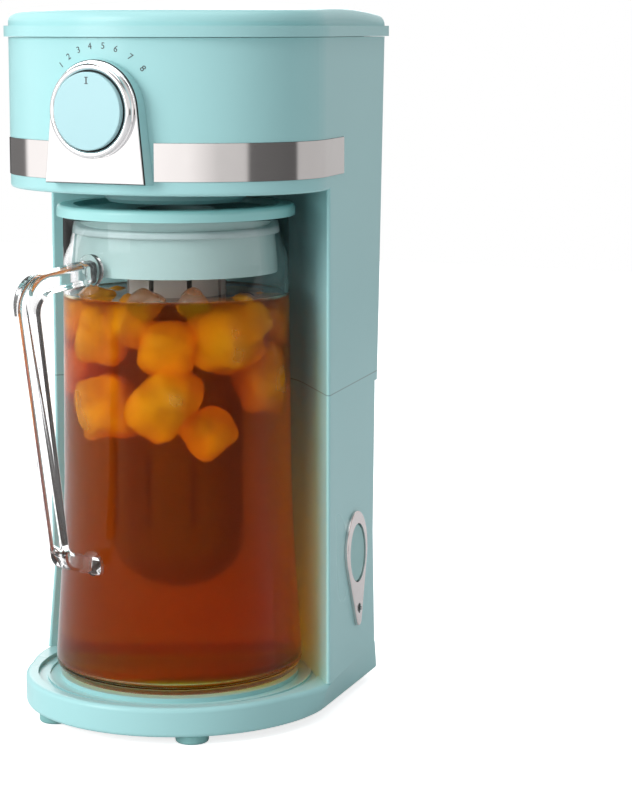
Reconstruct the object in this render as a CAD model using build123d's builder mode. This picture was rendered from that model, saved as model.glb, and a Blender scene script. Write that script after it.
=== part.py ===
from build123d import *
from math import acos, atan2, cos, hypot, pi, radians, sin, sqrt, tan
import os

# Iced tea maker: a brewing head on a rear column, a round-fronted base and a clear pitcher.
# Frame: millimetres, +Z up, the front faces -Y. The origin is on the table, on the pitcher's axis.

os.makedirs("parts", exist_ok=True)

# ---------------------------------------------------------------- driving dimensions
# levels above the table
FOOT_HEIGHT = 5.0
RIM_TOP = 21.5                # crest of the base's rim
SEAM_LEVEL = 186.2            # joint between the two housings, at the pitcher's axis
SEAM_FALL = 2.7               # the seam falls towards the back, in degrees
HEAD_BOTTOM = 301.3
BODY_TOP = 385.0
LID_RIM = 6.0                 # height of the lid's proud rim
LID_SIDE = 9.0                # height of the lid's side above that rim
LID_CROWN = 3.6               # rise of the lid's crown over its side
LID_OVERHANG = 2.6
LID_SHOULDER = 6.0
LID_CENTRE_Y = 25.0           # highest point of the crown
LINER_THICK = 1.6
LINER_CURB = 3.0
LINER_RIBS = 5
LINER_RIB_PITCH = 30.0
LINER_RIB_LENGTH = 110.0

# outline seen from above
HALF_WIDTH = 94.1             # of the head, at the pitcher's axis
FLANK_TAPER = 11.1            # the flanks close in towards the back, in degrees
FOOT_SPREAD = 2.0             # the column's foot is this much wider on each side than the head
SPREAD_TOP = 90.0             # level where the column begins to spread
HEAD_FRONT_Y = -7.2           # centre of the head's half-oval front
HEAD_FRONT_DEPTH = 73.8
BASE_RADIUS = 89.4            # of the base's round front
BASE_CENTRE_Y = 0.5
BASE_TAPER = 7.2              # the base's sides close in towards the back, in degrees
BULGE_START = -17.0           # above its underside the base runs out to the column from here, in degrees
UPPER_BACK_Y = 134.6          # back of the upper housing, at BODY_TOP
UPPER_RAKE = 4.1              # lean of the upper back, in degrees
LOWER_BACK_Y = 108.0          # back of the lower housing, at the underside
LOWER_RAKE = 2.2
REAR_CORNER = 6.0
BASE_REAR_CORNER = 4.5
CORNER_Y_TOP = 8.6            # front corner of the column, under the head
CORNER_Y_BASE = 2.0           # and at the base
CORNER_EDGE = 1.2
TAIL_EDGE = 5.0                # of the upper housing's back, where it ends at the seam

WALL = 3.0
GAP = 0.3                     # between a loose or moving piece and its seat
SLIP = 0.15                   # between fixed pieces with curved faces
RUNNING = 0.06                # radial clearance of a shaft in its hole

# bay and seat of the pitcher
BAY_RADIUS = 74.5
SEAT_RADIUS = 69.0
SEAT_PROUD = 0.2              # the seat stands this much over the rim, so the pitcher slides out
RIM_WIDTH = 7.0
TROUGH_DEPTH = 2.4
BASE_TOP_THICK = 2.6
RIDGE_RADIUS = 76.0
RIDGE_WIDTH = 1.6
RIDGE_HEIGHT = 1.0
CREST_EDGE = 2.5
UNDER_EDGE = 2.0
BULGE_CROWN = 1.2             # the side pieces bow out by this much

# pitcher
JAR_TOP = 285.5
JAR_RADIUS_TOP = 63.9
JAR_RADIUS_MID = 65.2
JAR_MID = 140.0               # level where the jar begins to flare
JAR_RADIUS_FOOT = 71.2
JAR_FOOT = 33.0
JAR_CORNER = 9.0
JAR_PUNT_RADIUS = 50.0
JAR_PUNT = 1.5
JAR_FLARE = [(69.4, 62.0), (65.9, 98.0)]   # steers the flare: radius, level
JAR_WALL = 2.5
JAR_FLOOR = 6.5
LID_DISC_RADIUS = 67.5
LID_DISC_THICK = 6.4
LID_DISH_RADIUS = 58.0
LID_DISH_DEPTH = 3.0
LID_MOUTH_RADIUS = 22.0
LID_EDGE = 2.4
COLLAR_RADIUS = 57.5
COLLAR_WALL = 2.0
COLLAR_HEIGHT = 31.8
SEAL_DROP = 10.0
SEAL_HEIGHT = 4.0
INFUSER_RADIUS = 28.0
INFUSER_WALL = 1.6
INFUSER_BOTTOM = 73.0
SOCKET_DEPTH = 10.0
SOCKET_WALL = 2.4
SLOTS_ROUND = 8
SLOT_ROWS = 3
SLOT_WIDTH = 3.0
SLOT_LENGTH = 42.0
SLOT_PITCH = 56.0
SLOT_FIRST = 132.0
CAP_HOLES = 8
CAP_HOLE_RADIUS = 1.6
CAP_HOLE_RING = 14.0

# pitcher handle, in its own upright plane: distance from the axis, level
HANDLE_TURN = 16.0            # the handle stands this far round from the front, in degrees
HANDLE_WIDTH = 13.5
HANDLE_EDGE = 2.4
HANDLE_OUTER = [(58.0, 264.7), (119.0, 257.0), (92.0, 95.8), (62.0, 86.5)]
HANDLE_INNER = [(62.0, 96.5), (88.2, 104.6), (107.3, 247.0), (58.0, 252.7)]
HANDLE_OUTER_RADII = (17.0, 9.0)
HANDLE_INNER_RADII = (6.0, 10.0)
PAD_RADIUS = 9.0
PAD_THICK = 3.0
PAD_LEVELS = (258.3, 92.2)

# dial and its arched plate
DIAL_LEVEL = 346.4
ARCH_RADIUS = 27.2
ARCH_HALF_WIDTH = 31.3
ARCH_BOTTOM = 307.5
ARCH_FRONT_Y = -86.7
PLATE_THICK = 1.5
PLATE_MARGIN = 0.5
RING_OUTER = 25.3
RING_FRONT_Y = -90.7
GROOVE_OUTER = 21.3
GROOVE_WIDTH = 0.6
CAP_FRONT_Y = -93.0
TICK_INNER = 14.4
TICK_OUTER = 17.8
TICK_WIDTH = 0.8
TICK_DEPTH = 0.4
SHAFT_RADIUS = 4.0
VANE_RADIUS = 13.0
VANE_THICK = 2.5
CAP_HUB = 3.0                 # depth of the cap's flange, behind its grooved rim
CAP_SKIN = 1.6
SHAFT_END_Y = -70.0

# polished band round the head
BAND_LOW = 309.1
BAND_HIGH = 329.5
BAND_DEPTH = 1.2
BAND_PROUD = 0.4
BAND_END_Y = 39.8

# head inside
BOSS_RADIUS = 40.0
BOSS_DROP = 7.6
BOSS_SPIGOT = 33.0
BOSS_WALL = 2.6
BOSS_MOUTH = 25.0
DECK_LEVEL = 368.0
DECK_THICK = 2.5
LEDGE = 2.0
BASKET_Y = -8.0
BASKET_RADIUS = 56.0
BASKET_WALL = 2.0
BASKET_FLANGE = 60.0
FLANGE_THICK = 2.0
BASKET_FLOOR = 308.0
BASKET_CLEAR = 0.6
NOZZLE_RADIUS = 6.0
NOZZLE_BORE = 3.0
NOZZLE_END = 298.5
FILTER_CLEAR = 1.2
FILTER_WALL = 1.2
FILTER_WINDOWS = 10
WINDOW_WIDTH = 12.0
WINDOW_HEIGHT = 38.0

# water tank and its plumbing, in the column
TANK_LEFT = -62.0
TANK_RIGHT = 44.0
TANK_FRONT_Y = 62.0
TANK_LOW_FRONT_Y = 83.0
TANK_STEP = 308.0
TANK_BACK_Y = 122.0
TANK_LOW_BACK_Y = 114.0
TANK_BOTTOM = 205.0
TANK_WALL = 2.0
TANK_CORNER = 8.0
TANK_FLANGE = 2.0
PIPE_Y = 94.0
INLET_X = -30.0
RISER_X = 56.0
HOSE_RADIUS = 7.0
HOSE_BORE = 4.0
OUTLET_DROP = 8.0
VALVE_RADIUS = 9.0
VALVE_HEIGHT = 22.0
HEATER_TOP = 128.0
HEATER_BOTTOM = 52.0
HEATER_RADIUS = 6.0
HEATER_BEND = 18.0
STRAP_LEVEL = 92.0
STRAP_HEIGHT = 14.0
STRAP_THICK = 1.5
STRAP_LEFT = -40.0
STRAP_RIGHT = 64.0
SHEATH_RADIUS = 4.0
SHEATH_Y = 102.0
THERMOSTAT_RADIUS = 8.0
THERMOSTAT_HEIGHT = 9.0
SPOUT_RADIUS = 4.4
SPOUT_BORE = 3.0
SPOUT_LEVEL = 380.2
SPOUT_ROUTE = [(56.0, 94.0), (56.0, 62.0), (22.0, 24.0)]
SPOUT_BEND = 14.0
SPOUT_FOOT = 8.5
SPOUT_HEAD = 6.5
SPOUT_HEAD_HALF = 4.6

# power button and its teardrop bezel on the right flank
BUTTON_Y = 65.0
BUTTON_LEVEL = 85.2
BUTTON_RADIUS = 17.0
BUTTON_TRAVEL = 2.0
BUTTON_THICK = 5.0
BEZEL_RADIUS = 22.0
BEZEL_LEVEL = 87.9
BEZEL_TIP_RADIUS = 4.6
BEZEL_TIP_LEVEL = 46.0
BEZEL_PROUD = 2.4
BEZEL_EDGE = 0.9
LENS_RADIUS = 3.0
LENS_LEVEL = 52.0
PLUNGER_RADIUS = 3.0
PLUNGER_LENGTH = 4.0
BUTTON_PROUD = 1.6
BUTTON_FLANGE = 18.5
SWITCH_DEPTH = 12.0
SWITCH_WIDTH = 20.0
SWITCH_HEIGHT = 26.0
SWITCH_SHIFT = 3.0            # the switch sits this far to the rear of the button's axis
BRACKET_HALF = 20.0
BRACKET_WIDTH = 12.0
BRACKET_THICK = 1.5

# hinge of the lid
HINGE_BACK = 4.6              # the pin's axis lies this far behind the upper back
HINGE_LEVEL = 380.4
KNUCKLE_RADIUS = 3.6
KNUCKLE_X = 42.0
KNUCKLE_WIDTH = 14.0
EAR_WIDTH = 6.0
PIN_RADIUS = 1.5

# underside
PLATE_UNDER = 2.4
FOOT_RADIUS = 9.3
FOOT_EDGE = 1.5
VENT_COUNT = 7
VENT_PITCH = 9.0
VENT_LENGTH = 34.0
VENT_WIDTH = 2.5
FRONT_FEET = (44.6, -63.8)
REAR_FEET = (52.0, 84.0)
SCREW_HEAD = 3.4
SCREW_HEAD_THICK = 1.8
SCREW_SOCKET = 1.4
SCREW_SHANK = 1.5
SCREW_LENGTH = 9.0
SCREW_SPOTS = [(-62.0, -30.0), (62.0, -30.0), (-66.0, 44.0), (66.0, 44.0)]
POST_RADIUS = 4.2
GLAND_X = 34.0
GLAND_LEVEL = 26.0
GLAND_RADIUS = 6.0
GLAND_FLANGE = 8.5
GLAND_BORE = 3.5
GLAND_LIP = 1.5

# ---------------------------------------------------------------- derived places
TAPER = radians(FLANK_TAPER)
SLOPE = tan(TAPER)
SEAT_TOP = RIM_TOP + SEAT_PROUD
JAR_BOTTOM = SEAT_TOP + GAP
LID_BOTTOM = JAR_TOP + GAP
LID_TOP = LID_BOTTOM + LID_DISC_THICK
RIM_BOTTOM = BODY_TOP + GAP
DECK_TOP = DECK_LEVEL + DECK_THICK
REAR_EDGE_Y = 90.0            # upright edges behind this line are the rear corners
BEHIND = 160.0                # blocks run back to here before their backs are cut
CORNER_OVERRUN = 30.0         # the bay is drawn this far past the column's corners
BAY_REACH = 140.0


def spread(z):
    """How far the column's foot has spread: 0 at SPREAD_TOP and above, 1 on the base's rim."""
    return (SPREAD_TOP - min(max(z, RIM_TOP), SPREAD_TOP)) / (SPREAD_TOP - RIM_TOP)


def half_width(z):
    return HALF_WIDTH + FOOT_SPREAD * spread(z)


def corner_place(z):
    """The column's front corner, on its flank."""
    y = CORNER_Y_TOP + (CORNER_Y_BASE - CORNER_Y_TOP) * spread(z)
    return half_width(z) - SLOPE * y, y


def upper_back(z):
    return UPPER_BACK_Y - tan(radians(UPPER_RAKE)) * (BODY_TOP - z)


def lower_back(z):
    return LOWER_BACK_Y + tan(radians(LOWER_RAKE)) * (z - FOOT_HEIGHT)


def round_fronted(z, width, front_y, depth, inset):
    """A half-oval front that runs tangent into the two tapering flanks, open-ended to the rear."""
    line = width * cos(TAPER) - inset
    reach = line - front_y * sin(TAPER)
    short = depth - inset
    wide = sqrt(reach ** 2 - (short * sin(TAPER)) ** 2) / cos(TAPER)
    touch_x = wide ** 2 * cos(TAPER) / reach
    touch_y = front_y + short ** 2 * sin(TAPER) / reach
    back_x = (line - BEHIND * sin(TAPER)) / cos(TAPER)
    with BuildSketch(Plane.XY.offset(z)) as outline:
        with Locations((0, front_y)):
            Ellipse(wide, short)
        with BuildLine():
            Polyline((touch_x, touch_y), (back_x, BEHIND), (-back_x, BEHIND), (-touch_x, touch_y),
                     close=True)
        make_face()
    return outline.sketch


def head_outline(z, inset):
    return round_fronted(z, HALF_WIDTH, HEAD_FRONT_Y, HEAD_FRONT_DEPTH, inset)


def on_base_circle(angle, inset):
    turn = radians(angle)
    radius = BASE_RADIUS - inset
    return radius * cos(turn), BASE_CENTRE_Y + radius * sin(turn)


def base_outline(z, inset, corner=None, back=None):
    """The base from above: round in front, a side piece to each corner, then straight to the rear."""
    start_x, start_y = on_base_circle(BULGE_START, inset)
    side_x, side_y = on_base_circle((BULGE_START + BASE_TAPER) / 2, inset)
    corner_x, corner_y = on_base_circle(BASE_TAPER, inset)
    back_x = corner_x - tan(radians(BASE_TAPER)) * (BEHIND - corner_y)
    if corner:
        corner_x, corner_y = corner
        side_x = (start_x + corner_x) / 2 + BULGE_CROWN
        side_y = (start_y + corner_y) / 2
        back_x = back
    with BuildSketch(Plane.XY.offset(z)) as outline:
        with BuildLine():
            ThreePointArc((-start_x, start_y), on_base_circle(-90, inset), (start_x, start_y))
            ThreePointArc((start_x, start_y), (side_x, side_y), (corner_x, corner_y))
            Polyline((corner_x, corner_y), (back_x, BEHIND), (-back_x, BEHIND), (-corner_x, corner_y))
            ThreePointArc((-corner_x, corner_y), (-side_x, side_y), (-start_x, start_y))
        make_face()
    return outline.sketch


def back_plane(back_y, z, rake, inset):
    """The leaning plane of a back, its normal pointing to the rear."""
    lean = radians(rake)
    normal = Vector(0, cos(lean), -sin(lean))
    return Plane(origin=Vector(0, back_y, z) - normal * inset, x_dir=(1, 0, 0), z_dir=normal)


def upper_back_plane(inset):
    return back_plane(UPPER_BACK_Y, BODY_TOP, UPPER_RAKE, inset)


def lower_back_plane(inset):
    return back_plane(LOWER_BACK_Y, FOOT_HEIGHT, LOWER_RAKE, inset)


def rear_edges(part):
    """The upright edges at the two rear corners."""
    return part.edges().filter_by(lambda e: abs(e.tangent_at(0.5).Z) > 0.9
                                  and e.center().Y > REAR_EDGE_Y)


def corner_edges(part):
    """The upright edges at the column's two front corners."""
    return part.edges().filter_by(lambda e: abs(e.tangent_at(0.5).Z) > 0.9
                                  and abs(e.center().X) > BASE_RADIUS)


def head_block(inset, low, high, rake=UPPER_RAKE):
    """The head as one block between two levels, drawn in from its outer face by an inset."""
    outline = head_outline(low, inset)
    with BuildPart() as block:
        extrude(outline, amount=high - low)
        split(bisect_by=back_plane(UPPER_BACK_Y, BODY_TOP, rake, inset), keep=Keep.BOTTOM)
        fillet(rear_edges(block.part), max(REAR_CORNER - inset, 1.0))
    return block.part


def column_outline(z, inset):
    edge = half_width(z) - inset / cos(TAPER)
    with BuildSketch(Plane.XY.offset(z)) as outline:
        with BuildLine():
            Polyline((edge, 0), (edge - SLOPE * BEHIND, BEHIND),
                     (SLOPE * BEHIND - edge, BEHIND), (-edge, 0), close=True)
        make_face()
    return outline.sketch


def levels(low, high):
    """The levels where a block between low and high changes its slope, from the lowest up."""
    return [low] + [z for z in (RIM_TOP, SPREAD_TOP) if low < z < high] + [high]


def column_block(inset, low, high, back):
    """The column without its bay: a block whose foot spreads, cut off by a leaning back."""
    outlines = [column_outline(z, inset) for z in levels(low, high)]
    with BuildPart() as block:
        loft(outlines, ruled=True)
        split(bisect_by=back, keep=Keep.BOTTOM)
        fillet(rear_edges(block.part), max(REAR_CORNER - inset, 1.0))
    return block.part


def bay_outline(z, grow):
    """The bay from above: round behind the pitcher, then straight to the column's front corners."""
    corner_x, corner_y = corner_place(z)
    reach = hypot(corner_x, corner_y)
    turn = atan2(corner_y, corner_x) + acos(BAY_RADIUS / reach)
    radius = BAY_RADIUS + grow
    touch_x, touch_y = radius * cos(turn), radius * sin(turn)
    run = sqrt(reach ** 2 - BAY_RADIUS ** 2) + CORNER_OVERRUN
    end_x, end_y = touch_x + run * sin(turn), touch_y - run * cos(turn)
    with BuildSketch(Plane.XY.offset(z)) as outline:
        with BuildLine():
            ThreePointArc((-touch_x, touch_y), (0, radius), (touch_x, touch_y))
            Polyline((touch_x, touch_y), (end_x, end_y), (end_x, -BAY_REACH), (-end_x, -BAY_REACH),
                     (-end_x, end_y), (-touch_x, touch_y))
        make_face()
    return outline.sketch


def bay_block(grow, low, high):
    outlines = [bay_outline(z, grow) for z in levels(low, high)]
    with BuildPart() as block:
        loft(outlines, ruled=True)
    return block.part


seam_tilt = radians(SEAM_FALL)
seam = Plane(origin=(0, 0, SEAM_LEVEL), x_dir=(1, 0, 0), z_dir=(0, sin(seam_tilt), cos(seam_tilt)))

# ---------------------------------------------------------------- lower housing: base and column foot
trough_floor = RIM_TOP - TROUGH_DEPTH
hollow_top = trough_floor - BASE_TOP_THICK
lower_top = SEAM_LEVEL + REAR_CORNER

rim_corner = corner_place(RIM_TOP)
rim_back = half_width(RIM_TOP) - SLOPE * BEHIND
base_outlines = [base_outline(FOOT_HEIGHT, 0), base_outline(RIM_TOP, 0, rim_corner, rim_back)]
with BuildPart() as base_outer:
    loft(base_outlines, ruled=True)
    split(bisect_by=lower_back_plane(0), keep=Keep.BOTTOM)
    crest = base_outer.edges().group_by(Axis.Z)[-1].filter_by(lambda e: e.center().Y < 0)
    fillet(crest, CREST_EDGE)
    fillet(rear_edges(base_outer.part), BASE_REAR_CORNER)
    fillet(base_outer.edges().group_by(Axis.Z)[0], UNDER_EDGE)

with BuildPart() as base_hollow:
    extrude(base_outline(FOOT_HEIGHT, WALL), amount=hollow_top - FOOT_HEIGHT)
    split(bisect_by=lower_back_plane(WALL), keep=Keep.BOTTOM)
    fillet(rear_edges(base_hollow.part), BASE_REAR_CORNER - WALL)

with BuildPart() as lower_column_hollow:
    add(column_block(WALL, hollow_top, lower_top, lower_back_plane(WALL)))
    add(bay_block(WALL, hollow_top, lower_top), mode=Mode.SUBTRACT)

with BuildPart() as trough:
    extrude(base_outline(trough_floor, RIM_WIDTH), amount=TROUGH_DEPTH + SEAT_PROUD)
    add(bay_block(0, trough_floor, HEAD_BOTTOM), mode=Mode.INTERSECT)
    with BuildSketch(Plane.XY.offset(trough_floor)):
        Circle(SEAT_RADIUS)
    extrude(amount=TROUGH_DEPTH + SEAT_PROUD, mode=Mode.SUBTRACT)
    with BuildSketch(Plane.XY.offset(trough_floor)):
        Circle(RIDGE_RADIUS + RIDGE_WIDTH / 2)
        Circle(RIDGE_RADIUS - RIDGE_WIDTH / 2, mode=Mode.SUBTRACT)
    extrude(amount=RIDGE_HEIGHT, mode=Mode.SUBTRACT)

# the right flank at the power button: local x runs to the rear, local y is up, z points outward
flank_lean = FOOT_SPREAD / (SPREAD_TOP - RIM_TOP)
flank_x = HALF_WIDTH + FOOT_SPREAD * SPREAD_TOP / (SPREAD_TOP - RIM_TOP) - SLOPE * BUTTON_Y
flank = Plane(origin=(flank_x, BUTTON_Y, 0), x_dir=(-sin(TAPER), cos(TAPER), 0),
              z_dir=(1, SLOPE, flank_lean))
gland_seat = Plane(origin=(GLAND_X, lower_back(GLAND_LEVEL), GLAND_LEVEL), x_dir=(-1, 0, 0),
                   z_dir=lower_back_plane(0).z_dir)

with BuildPart() as lower_housing:
    add(column_block(0, RIM_TOP, lower_top, lower_back_plane(0)))
    add(bay_block(0, RIM_TOP, HEAD_BOTTOM), mode=Mode.SUBTRACT)
    fillet(corner_edges(lower_housing.part), CORNER_EDGE)
    add(base_outer.part)
    split(bisect_by=seam, keep=Keep.BOTTOM)
    add(trough.part, mode=Mode.SUBTRACT)
    with BuildSketch(Plane.XY.offset(trough_floor)):
        Circle(SEAT_RADIUS)
    extrude(amount=SEAT_TOP - trough_floor)
    add(base_hollow.part, mode=Mode.SUBTRACT)
    add(lower_column_hollow.part, mode=Mode.SUBTRACT)
    # screw posts of the bottom plate
    with BuildSketch(Plane.XY.offset(FOOT_HEIGHT + PLATE_UNDER)):
        with Locations(*SCREW_SPOTS):
            Circle(POST_RADIUS)
    extrude(amount=hollow_top - FOOT_HEIGHT - PLATE_UNDER)
    with BuildSketch(Plane.XY.offset(FOOT_HEIGHT + PLATE_UNDER)):
        with Locations(*SCREW_SPOTS):
            Circle(SCREW_SHANK + RUNNING)
    extrude(amount=SCREW_LENGTH - PLATE_UNDER + GAP, mode=Mode.SUBTRACT)
    # power button, its lamp and the cord gland
    with BuildSketch(flank):
        with Locations((0, BUTTON_LEVEL)):
            Circle(BUTTON_RADIUS + GAP)
        with Locations((0, LENS_LEVEL)):
            Circle(LENS_RADIUS + RUNNING)
    extrude(amount=-2 * WALL, both=True, mode=Mode.SUBTRACT)
    with BuildSketch(gland_seat):
        Circle(GLAND_RADIUS + RUNNING)
    extrude(amount=2 * WALL, both=True, mode=Mode.SUBTRACT)
lower_housing.part.label = "lower_housing"
export_step(lower_housing.part, "parts/lower_housing.step")

# ---------------------------------------------------------------- underside
with BuildPart() as base_plate:
    extrude(base_outline(FOOT_HEIGHT, WALL + GAP), amount=PLATE_UNDER)
    split(bisect_by=lower_back_plane(WALL + GAP), keep=Keep.BOTTOM)
    fillet(rear_edges(base_plate.part), REAR_CORNER - WALL)
    with BuildSketch(Plane.XY.offset(FOOT_HEIGHT)):
        with GridLocations(VENT_PITCH, 0, VENT_COUNT, 1):
            SlotOverall(VENT_LENGTH, VENT_WIDTH, rotation=90)
        with Locations(*SCREW_SPOTS):
            Circle(SCREW_SHANK + GAP)
    extrude(amount=PLATE_UNDER, mode=Mode.SUBTRACT)
base_plate.part.label = "base_plate"
export_step(base_plate.part, "parts/base_plate.step")

FOOT_SPOTS = [(side * x, y) for x, y in (FRONT_FEET, REAR_FEET) for side in (-1, 1)]
with BuildPart() as feet:
    with BuildSketch():
        with Locations(*FOOT_SPOTS):
            Circle(FOOT_RADIUS)
    extrude(amount=FOOT_HEIGHT)
    fillet(feet.edges().group_by(Axis.Z)[0], FOOT_EDGE)
feet.part.label = "feet"
export_step(feet.part, "parts/feet.step")

with BuildPart() as base_screws:
    with BuildSketch(Plane.XY.offset(FOOT_HEIGHT - SCREW_HEAD_THICK)):
        with Locations(*SCREW_SPOTS):
            Circle(SCREW_HEAD)
            RegularPolygon(SCREW_SOCKET, 6, mode=Mode.SUBTRACT)
    extrude(amount=SCREW_HEAD_THICK)
    with BuildSketch(Plane.XY.offset(FOOT_HEIGHT - SCREW_HEAD_THICK / 3)):
        with Locations(*SCREW_SPOTS):
            Circle(SCREW_SHANK)
    extrude(amount=SCREW_LENGTH)
base_screws.part.label = "base_screws"
export_step(base_screws.part, "parts/base_screws.step")

# ---------------------------------------------------------------- upper housing: head and column
upper_low = lower_top - 2 * REAR_CORNER - HINGE_BACK
hinge_y = upper_back(HINGE_LEVEL) + HINGE_BACK
ear_step = (KNUCKLE_WIDTH + EAR_WIDTH) / 2 + GAP
ear_places = [side * KNUCKLE_X + way * ear_step for side in (-1, 1) for way in (-1, 1)]

with BuildPart() as upper_hollow:
    add(column_block(WALL, upper_low, SEAM_LEVEL + WALL, lower_back_plane(WALL)))
    add(column_block(WALL, SEAM_LEVEL + WALL, HEAD_BOTTOM + WALL, upper_back_plane(WALL)))
    add(bay_block(WALL, upper_low, HEAD_BOTTOM + WALL), mode=Mode.SUBTRACT)
    add(head_block(WALL + LEDGE, HEAD_BOTTOM + WALL, DECK_LEVEL))
    add(head_block(WALL, DECK_LEVEL, BODY_TOP))

# the rounding of the upper housing's back where it ends at the seam, in the Y-Z plane
along_seam = Vector(cos(seam_tilt), -sin(seam_tilt))
below_seam = Vector(-sin(seam_tilt), -cos(seam_tilt))
back_lean = radians(UPPER_RAKE)
up_back = Vector(sin(back_lean), cos(back_lean))
behind_back = Vector(cos(back_lean), -sin(back_lean))
tail_y = (UPPER_BACK_Y - tan(back_lean) * (BODY_TOP - SEAM_LEVEL)) / (1 + tan(back_lean) * tan(seam_tilt))
tail_tip = Vector(tail_y, SEAM_LEVEL - tan(seam_tilt) * tail_y)
tail_reach = TAIL_EDGE / tan((radians(90) + back_lean - seam_tilt) / 2)
tail_low = tail_tip - along_seam * tail_reach
tail_high = tail_tip + up_back * tail_reach
tail_centre = tail_low - below_seam * TAIL_EDGE

with BuildPart() as tail_cut:
    with BuildSketch(Plane.YZ):
        with BuildLine():
            Polyline(tail_centre, tail_low, tail_low + below_seam, tail_tip + below_seam + behind_back,
                     tail_high + behind_back, tail_high, close=True)
        make_face()
        with Locations(tail_centre):
            Circle(TAIL_EDGE, mode=Mode.SUBTRACT)
    extrude(amount=HALF_WIDTH, both=True)


def band_ring(outer, inner, margin):
    """A ring that follows the head's outline between two insets, front of the band's ends."""
    low = BAND_LOW - margin
    height = BAND_HIGH - BAND_LOW + 2 * margin
    with BuildPart() as ring:
        extrude(head_outline(low, outer), amount=height)
        extrude(head_outline(low, inner), amount=height, mode=Mode.SUBTRACT)
        split(bisect_by=Plane.XZ.offset(-BAND_END_Y - margin), keep=Keep.TOP)
        with BuildSketch(Plane.XY.offset(low)):
            with Locations((0, HEAD_FRONT_Y - HEAD_FRONT_DEPTH)):
                Rectangle(2 * (ARCH_HALF_WIDTH + GAP - margin), HEAD_FRONT_DEPTH)
        extrude(amount=height, mode=Mode.SUBTRACT)
    return ring.part


with BuildPart() as upper_housing:
    add(column_block(0, upper_low, HEAD_BOTTOM, upper_back_plane(0)))
    add(bay_block(0, upper_low, HEAD_BOTTOM), mode=Mode.SUBTRACT)
    fillet(corner_edges(upper_housing.part), CORNER_EDGE)
    split(bisect_by=seam, keep=Keep.TOP)
    add(tail_cut.part, mode=Mode.SUBTRACT)
    add(head_block(0, HEAD_BOTTOM, BODY_TOP))
    brow = upper_housing.edges().filter_by(lambda e: abs(e.center().Z - HEAD_BOTTOM) < 0.01
                                           and e.center().Y < 0 and e.length > HALF_WIDTH)
    fillet(brow, UNDER_EDGE)
    add(upper_hollow.part, mode=Mode.SUBTRACT)
    add(band_ring(-WALL, BAND_DEPTH + RUNNING, SLIP), mode=Mode.SUBTRACT)
    with BuildSketch(Plane.XY.offset(HEAD_BOTTOM)):
        Circle(BOSS_SPIGOT + SLIP)
    extrude(amount=2 * WALL, mode=Mode.SUBTRACT)
    with BuildSketch(Plane.XZ.offset(-HEAD_FRONT_Y)):
        with Locations((0, DIAL_LEVEL)):
            Circle(SHAFT_RADIUS + RUNNING)
    extrude(amount=HEAD_FRONT_DEPTH + WALL, mode=Mode.SUBTRACT)
    # hinge ears
    for x in ear_places:
        with BuildSketch(Plane.YZ.offset(x - EAR_WIDTH / 2)):
            with BuildLine():
                wall_y = upper_back(HINGE_LEVEL) - WALL / 2
                Polyline((wall_y, HINGE_LEVEL - 3 * KNUCKLE_RADIUS),
                         (wall_y, HINGE_LEVEL + KNUCKLE_RADIUS), (hinge_y, HINGE_LEVEL + KNUCKLE_RADIUS),
                         (hinge_y, HINGE_LEVEL - KNUCKLE_RADIUS), close=True)
            make_face()
            with Locations((hinge_y, HINGE_LEVEL)):
                Circle(KNUCKLE_RADIUS)
                Circle(PIN_RADIUS + RUNNING / 2, mode=Mode.SUBTRACT)
        extrude(amount=EAR_WIDTH)
upper_housing.part.label = "upper_housing"
export_step(upper_housing.part, "parts/upper_housing.step")

with BuildPart() as hinge_pins:
    for side in (-1, 1):
        length = KNUCKLE_WIDTH + 2 * (EAR_WIDTH + GAP)
        with BuildSketch(Plane.YZ.offset(side * KNUCKLE_X - length / 2)):
            with Locations((hinge_y, HINGE_LEVEL)):
                Circle(PIN_RADIUS)
        extrude(amount=length)
hinge_pins.part.label = "hinge_pins"
export_step(hinge_pins.part, "parts/hinge_pins.step")

# ---------------------------------------------------------------- lid
lid_top = RIM_BOTTOM + LID_RIM + LID_SIDE + LID_CROWN
crown_radius = (HALF_WIDTH ** 2 + LID_CROWN ** 2) / (2 * LID_CROWN)

with BuildPart() as top_lid:
    add(head_block(0, RIM_BOTTOM, lid_top, rake=0))
    with Locations((0, LID_CENTRE_Y, lid_top - crown_radius)):
        Sphere(crown_radius, mode=Mode.INTERSECT)
    shoulder = top_lid.faces().sort_by(Axis.Z)[-1].edges()
    fillet(shoulder, LID_SHOULDER)
    add(head_block(-LID_OVERHANG, RIM_BOTTOM, RIM_BOTTOM + LID_RIM, rake=0))
    add(head_block(WALL, RIM_BOTTOM, RIM_BOTTOM + LID_RIM + LID_SIDE - WALL, rake=0), mode=Mode.SUBTRACT)
    for side in (-1, 1):
        with BuildSketch(Plane.YZ.offset(side * KNUCKLE_X - KNUCKLE_WIDTH / 2)):
            with BuildLine():
                rim_y = UPPER_BACK_Y + LID_OVERHANG - SLIP
                Polyline((rim_y - 1, RIM_BOTTOM + SLIP), (rim_y - 1, RIM_BOTTOM + LID_RIM - 1),
                         (hinge_y + KNUCKLE_RADIUS, RIM_BOTTOM + 1), (hinge_y + KNUCKLE_RADIUS, HINGE_LEVEL),
                         (hinge_y - KNUCKLE_RADIUS, HINGE_LEVEL), close=True)
            make_face()
            with Locations((hinge_y, HINGE_LEVEL)):
                Circle(KNUCKLE_RADIUS)
                Circle(PIN_RADIUS + RUNNING, mode=Mode.SUBTRACT)
        extrude(amount=KNUCKLE_WIDTH)
top_lid.part.label = "top_lid"
export_step(top_lid.part, "parts/top_lid.step")

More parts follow.
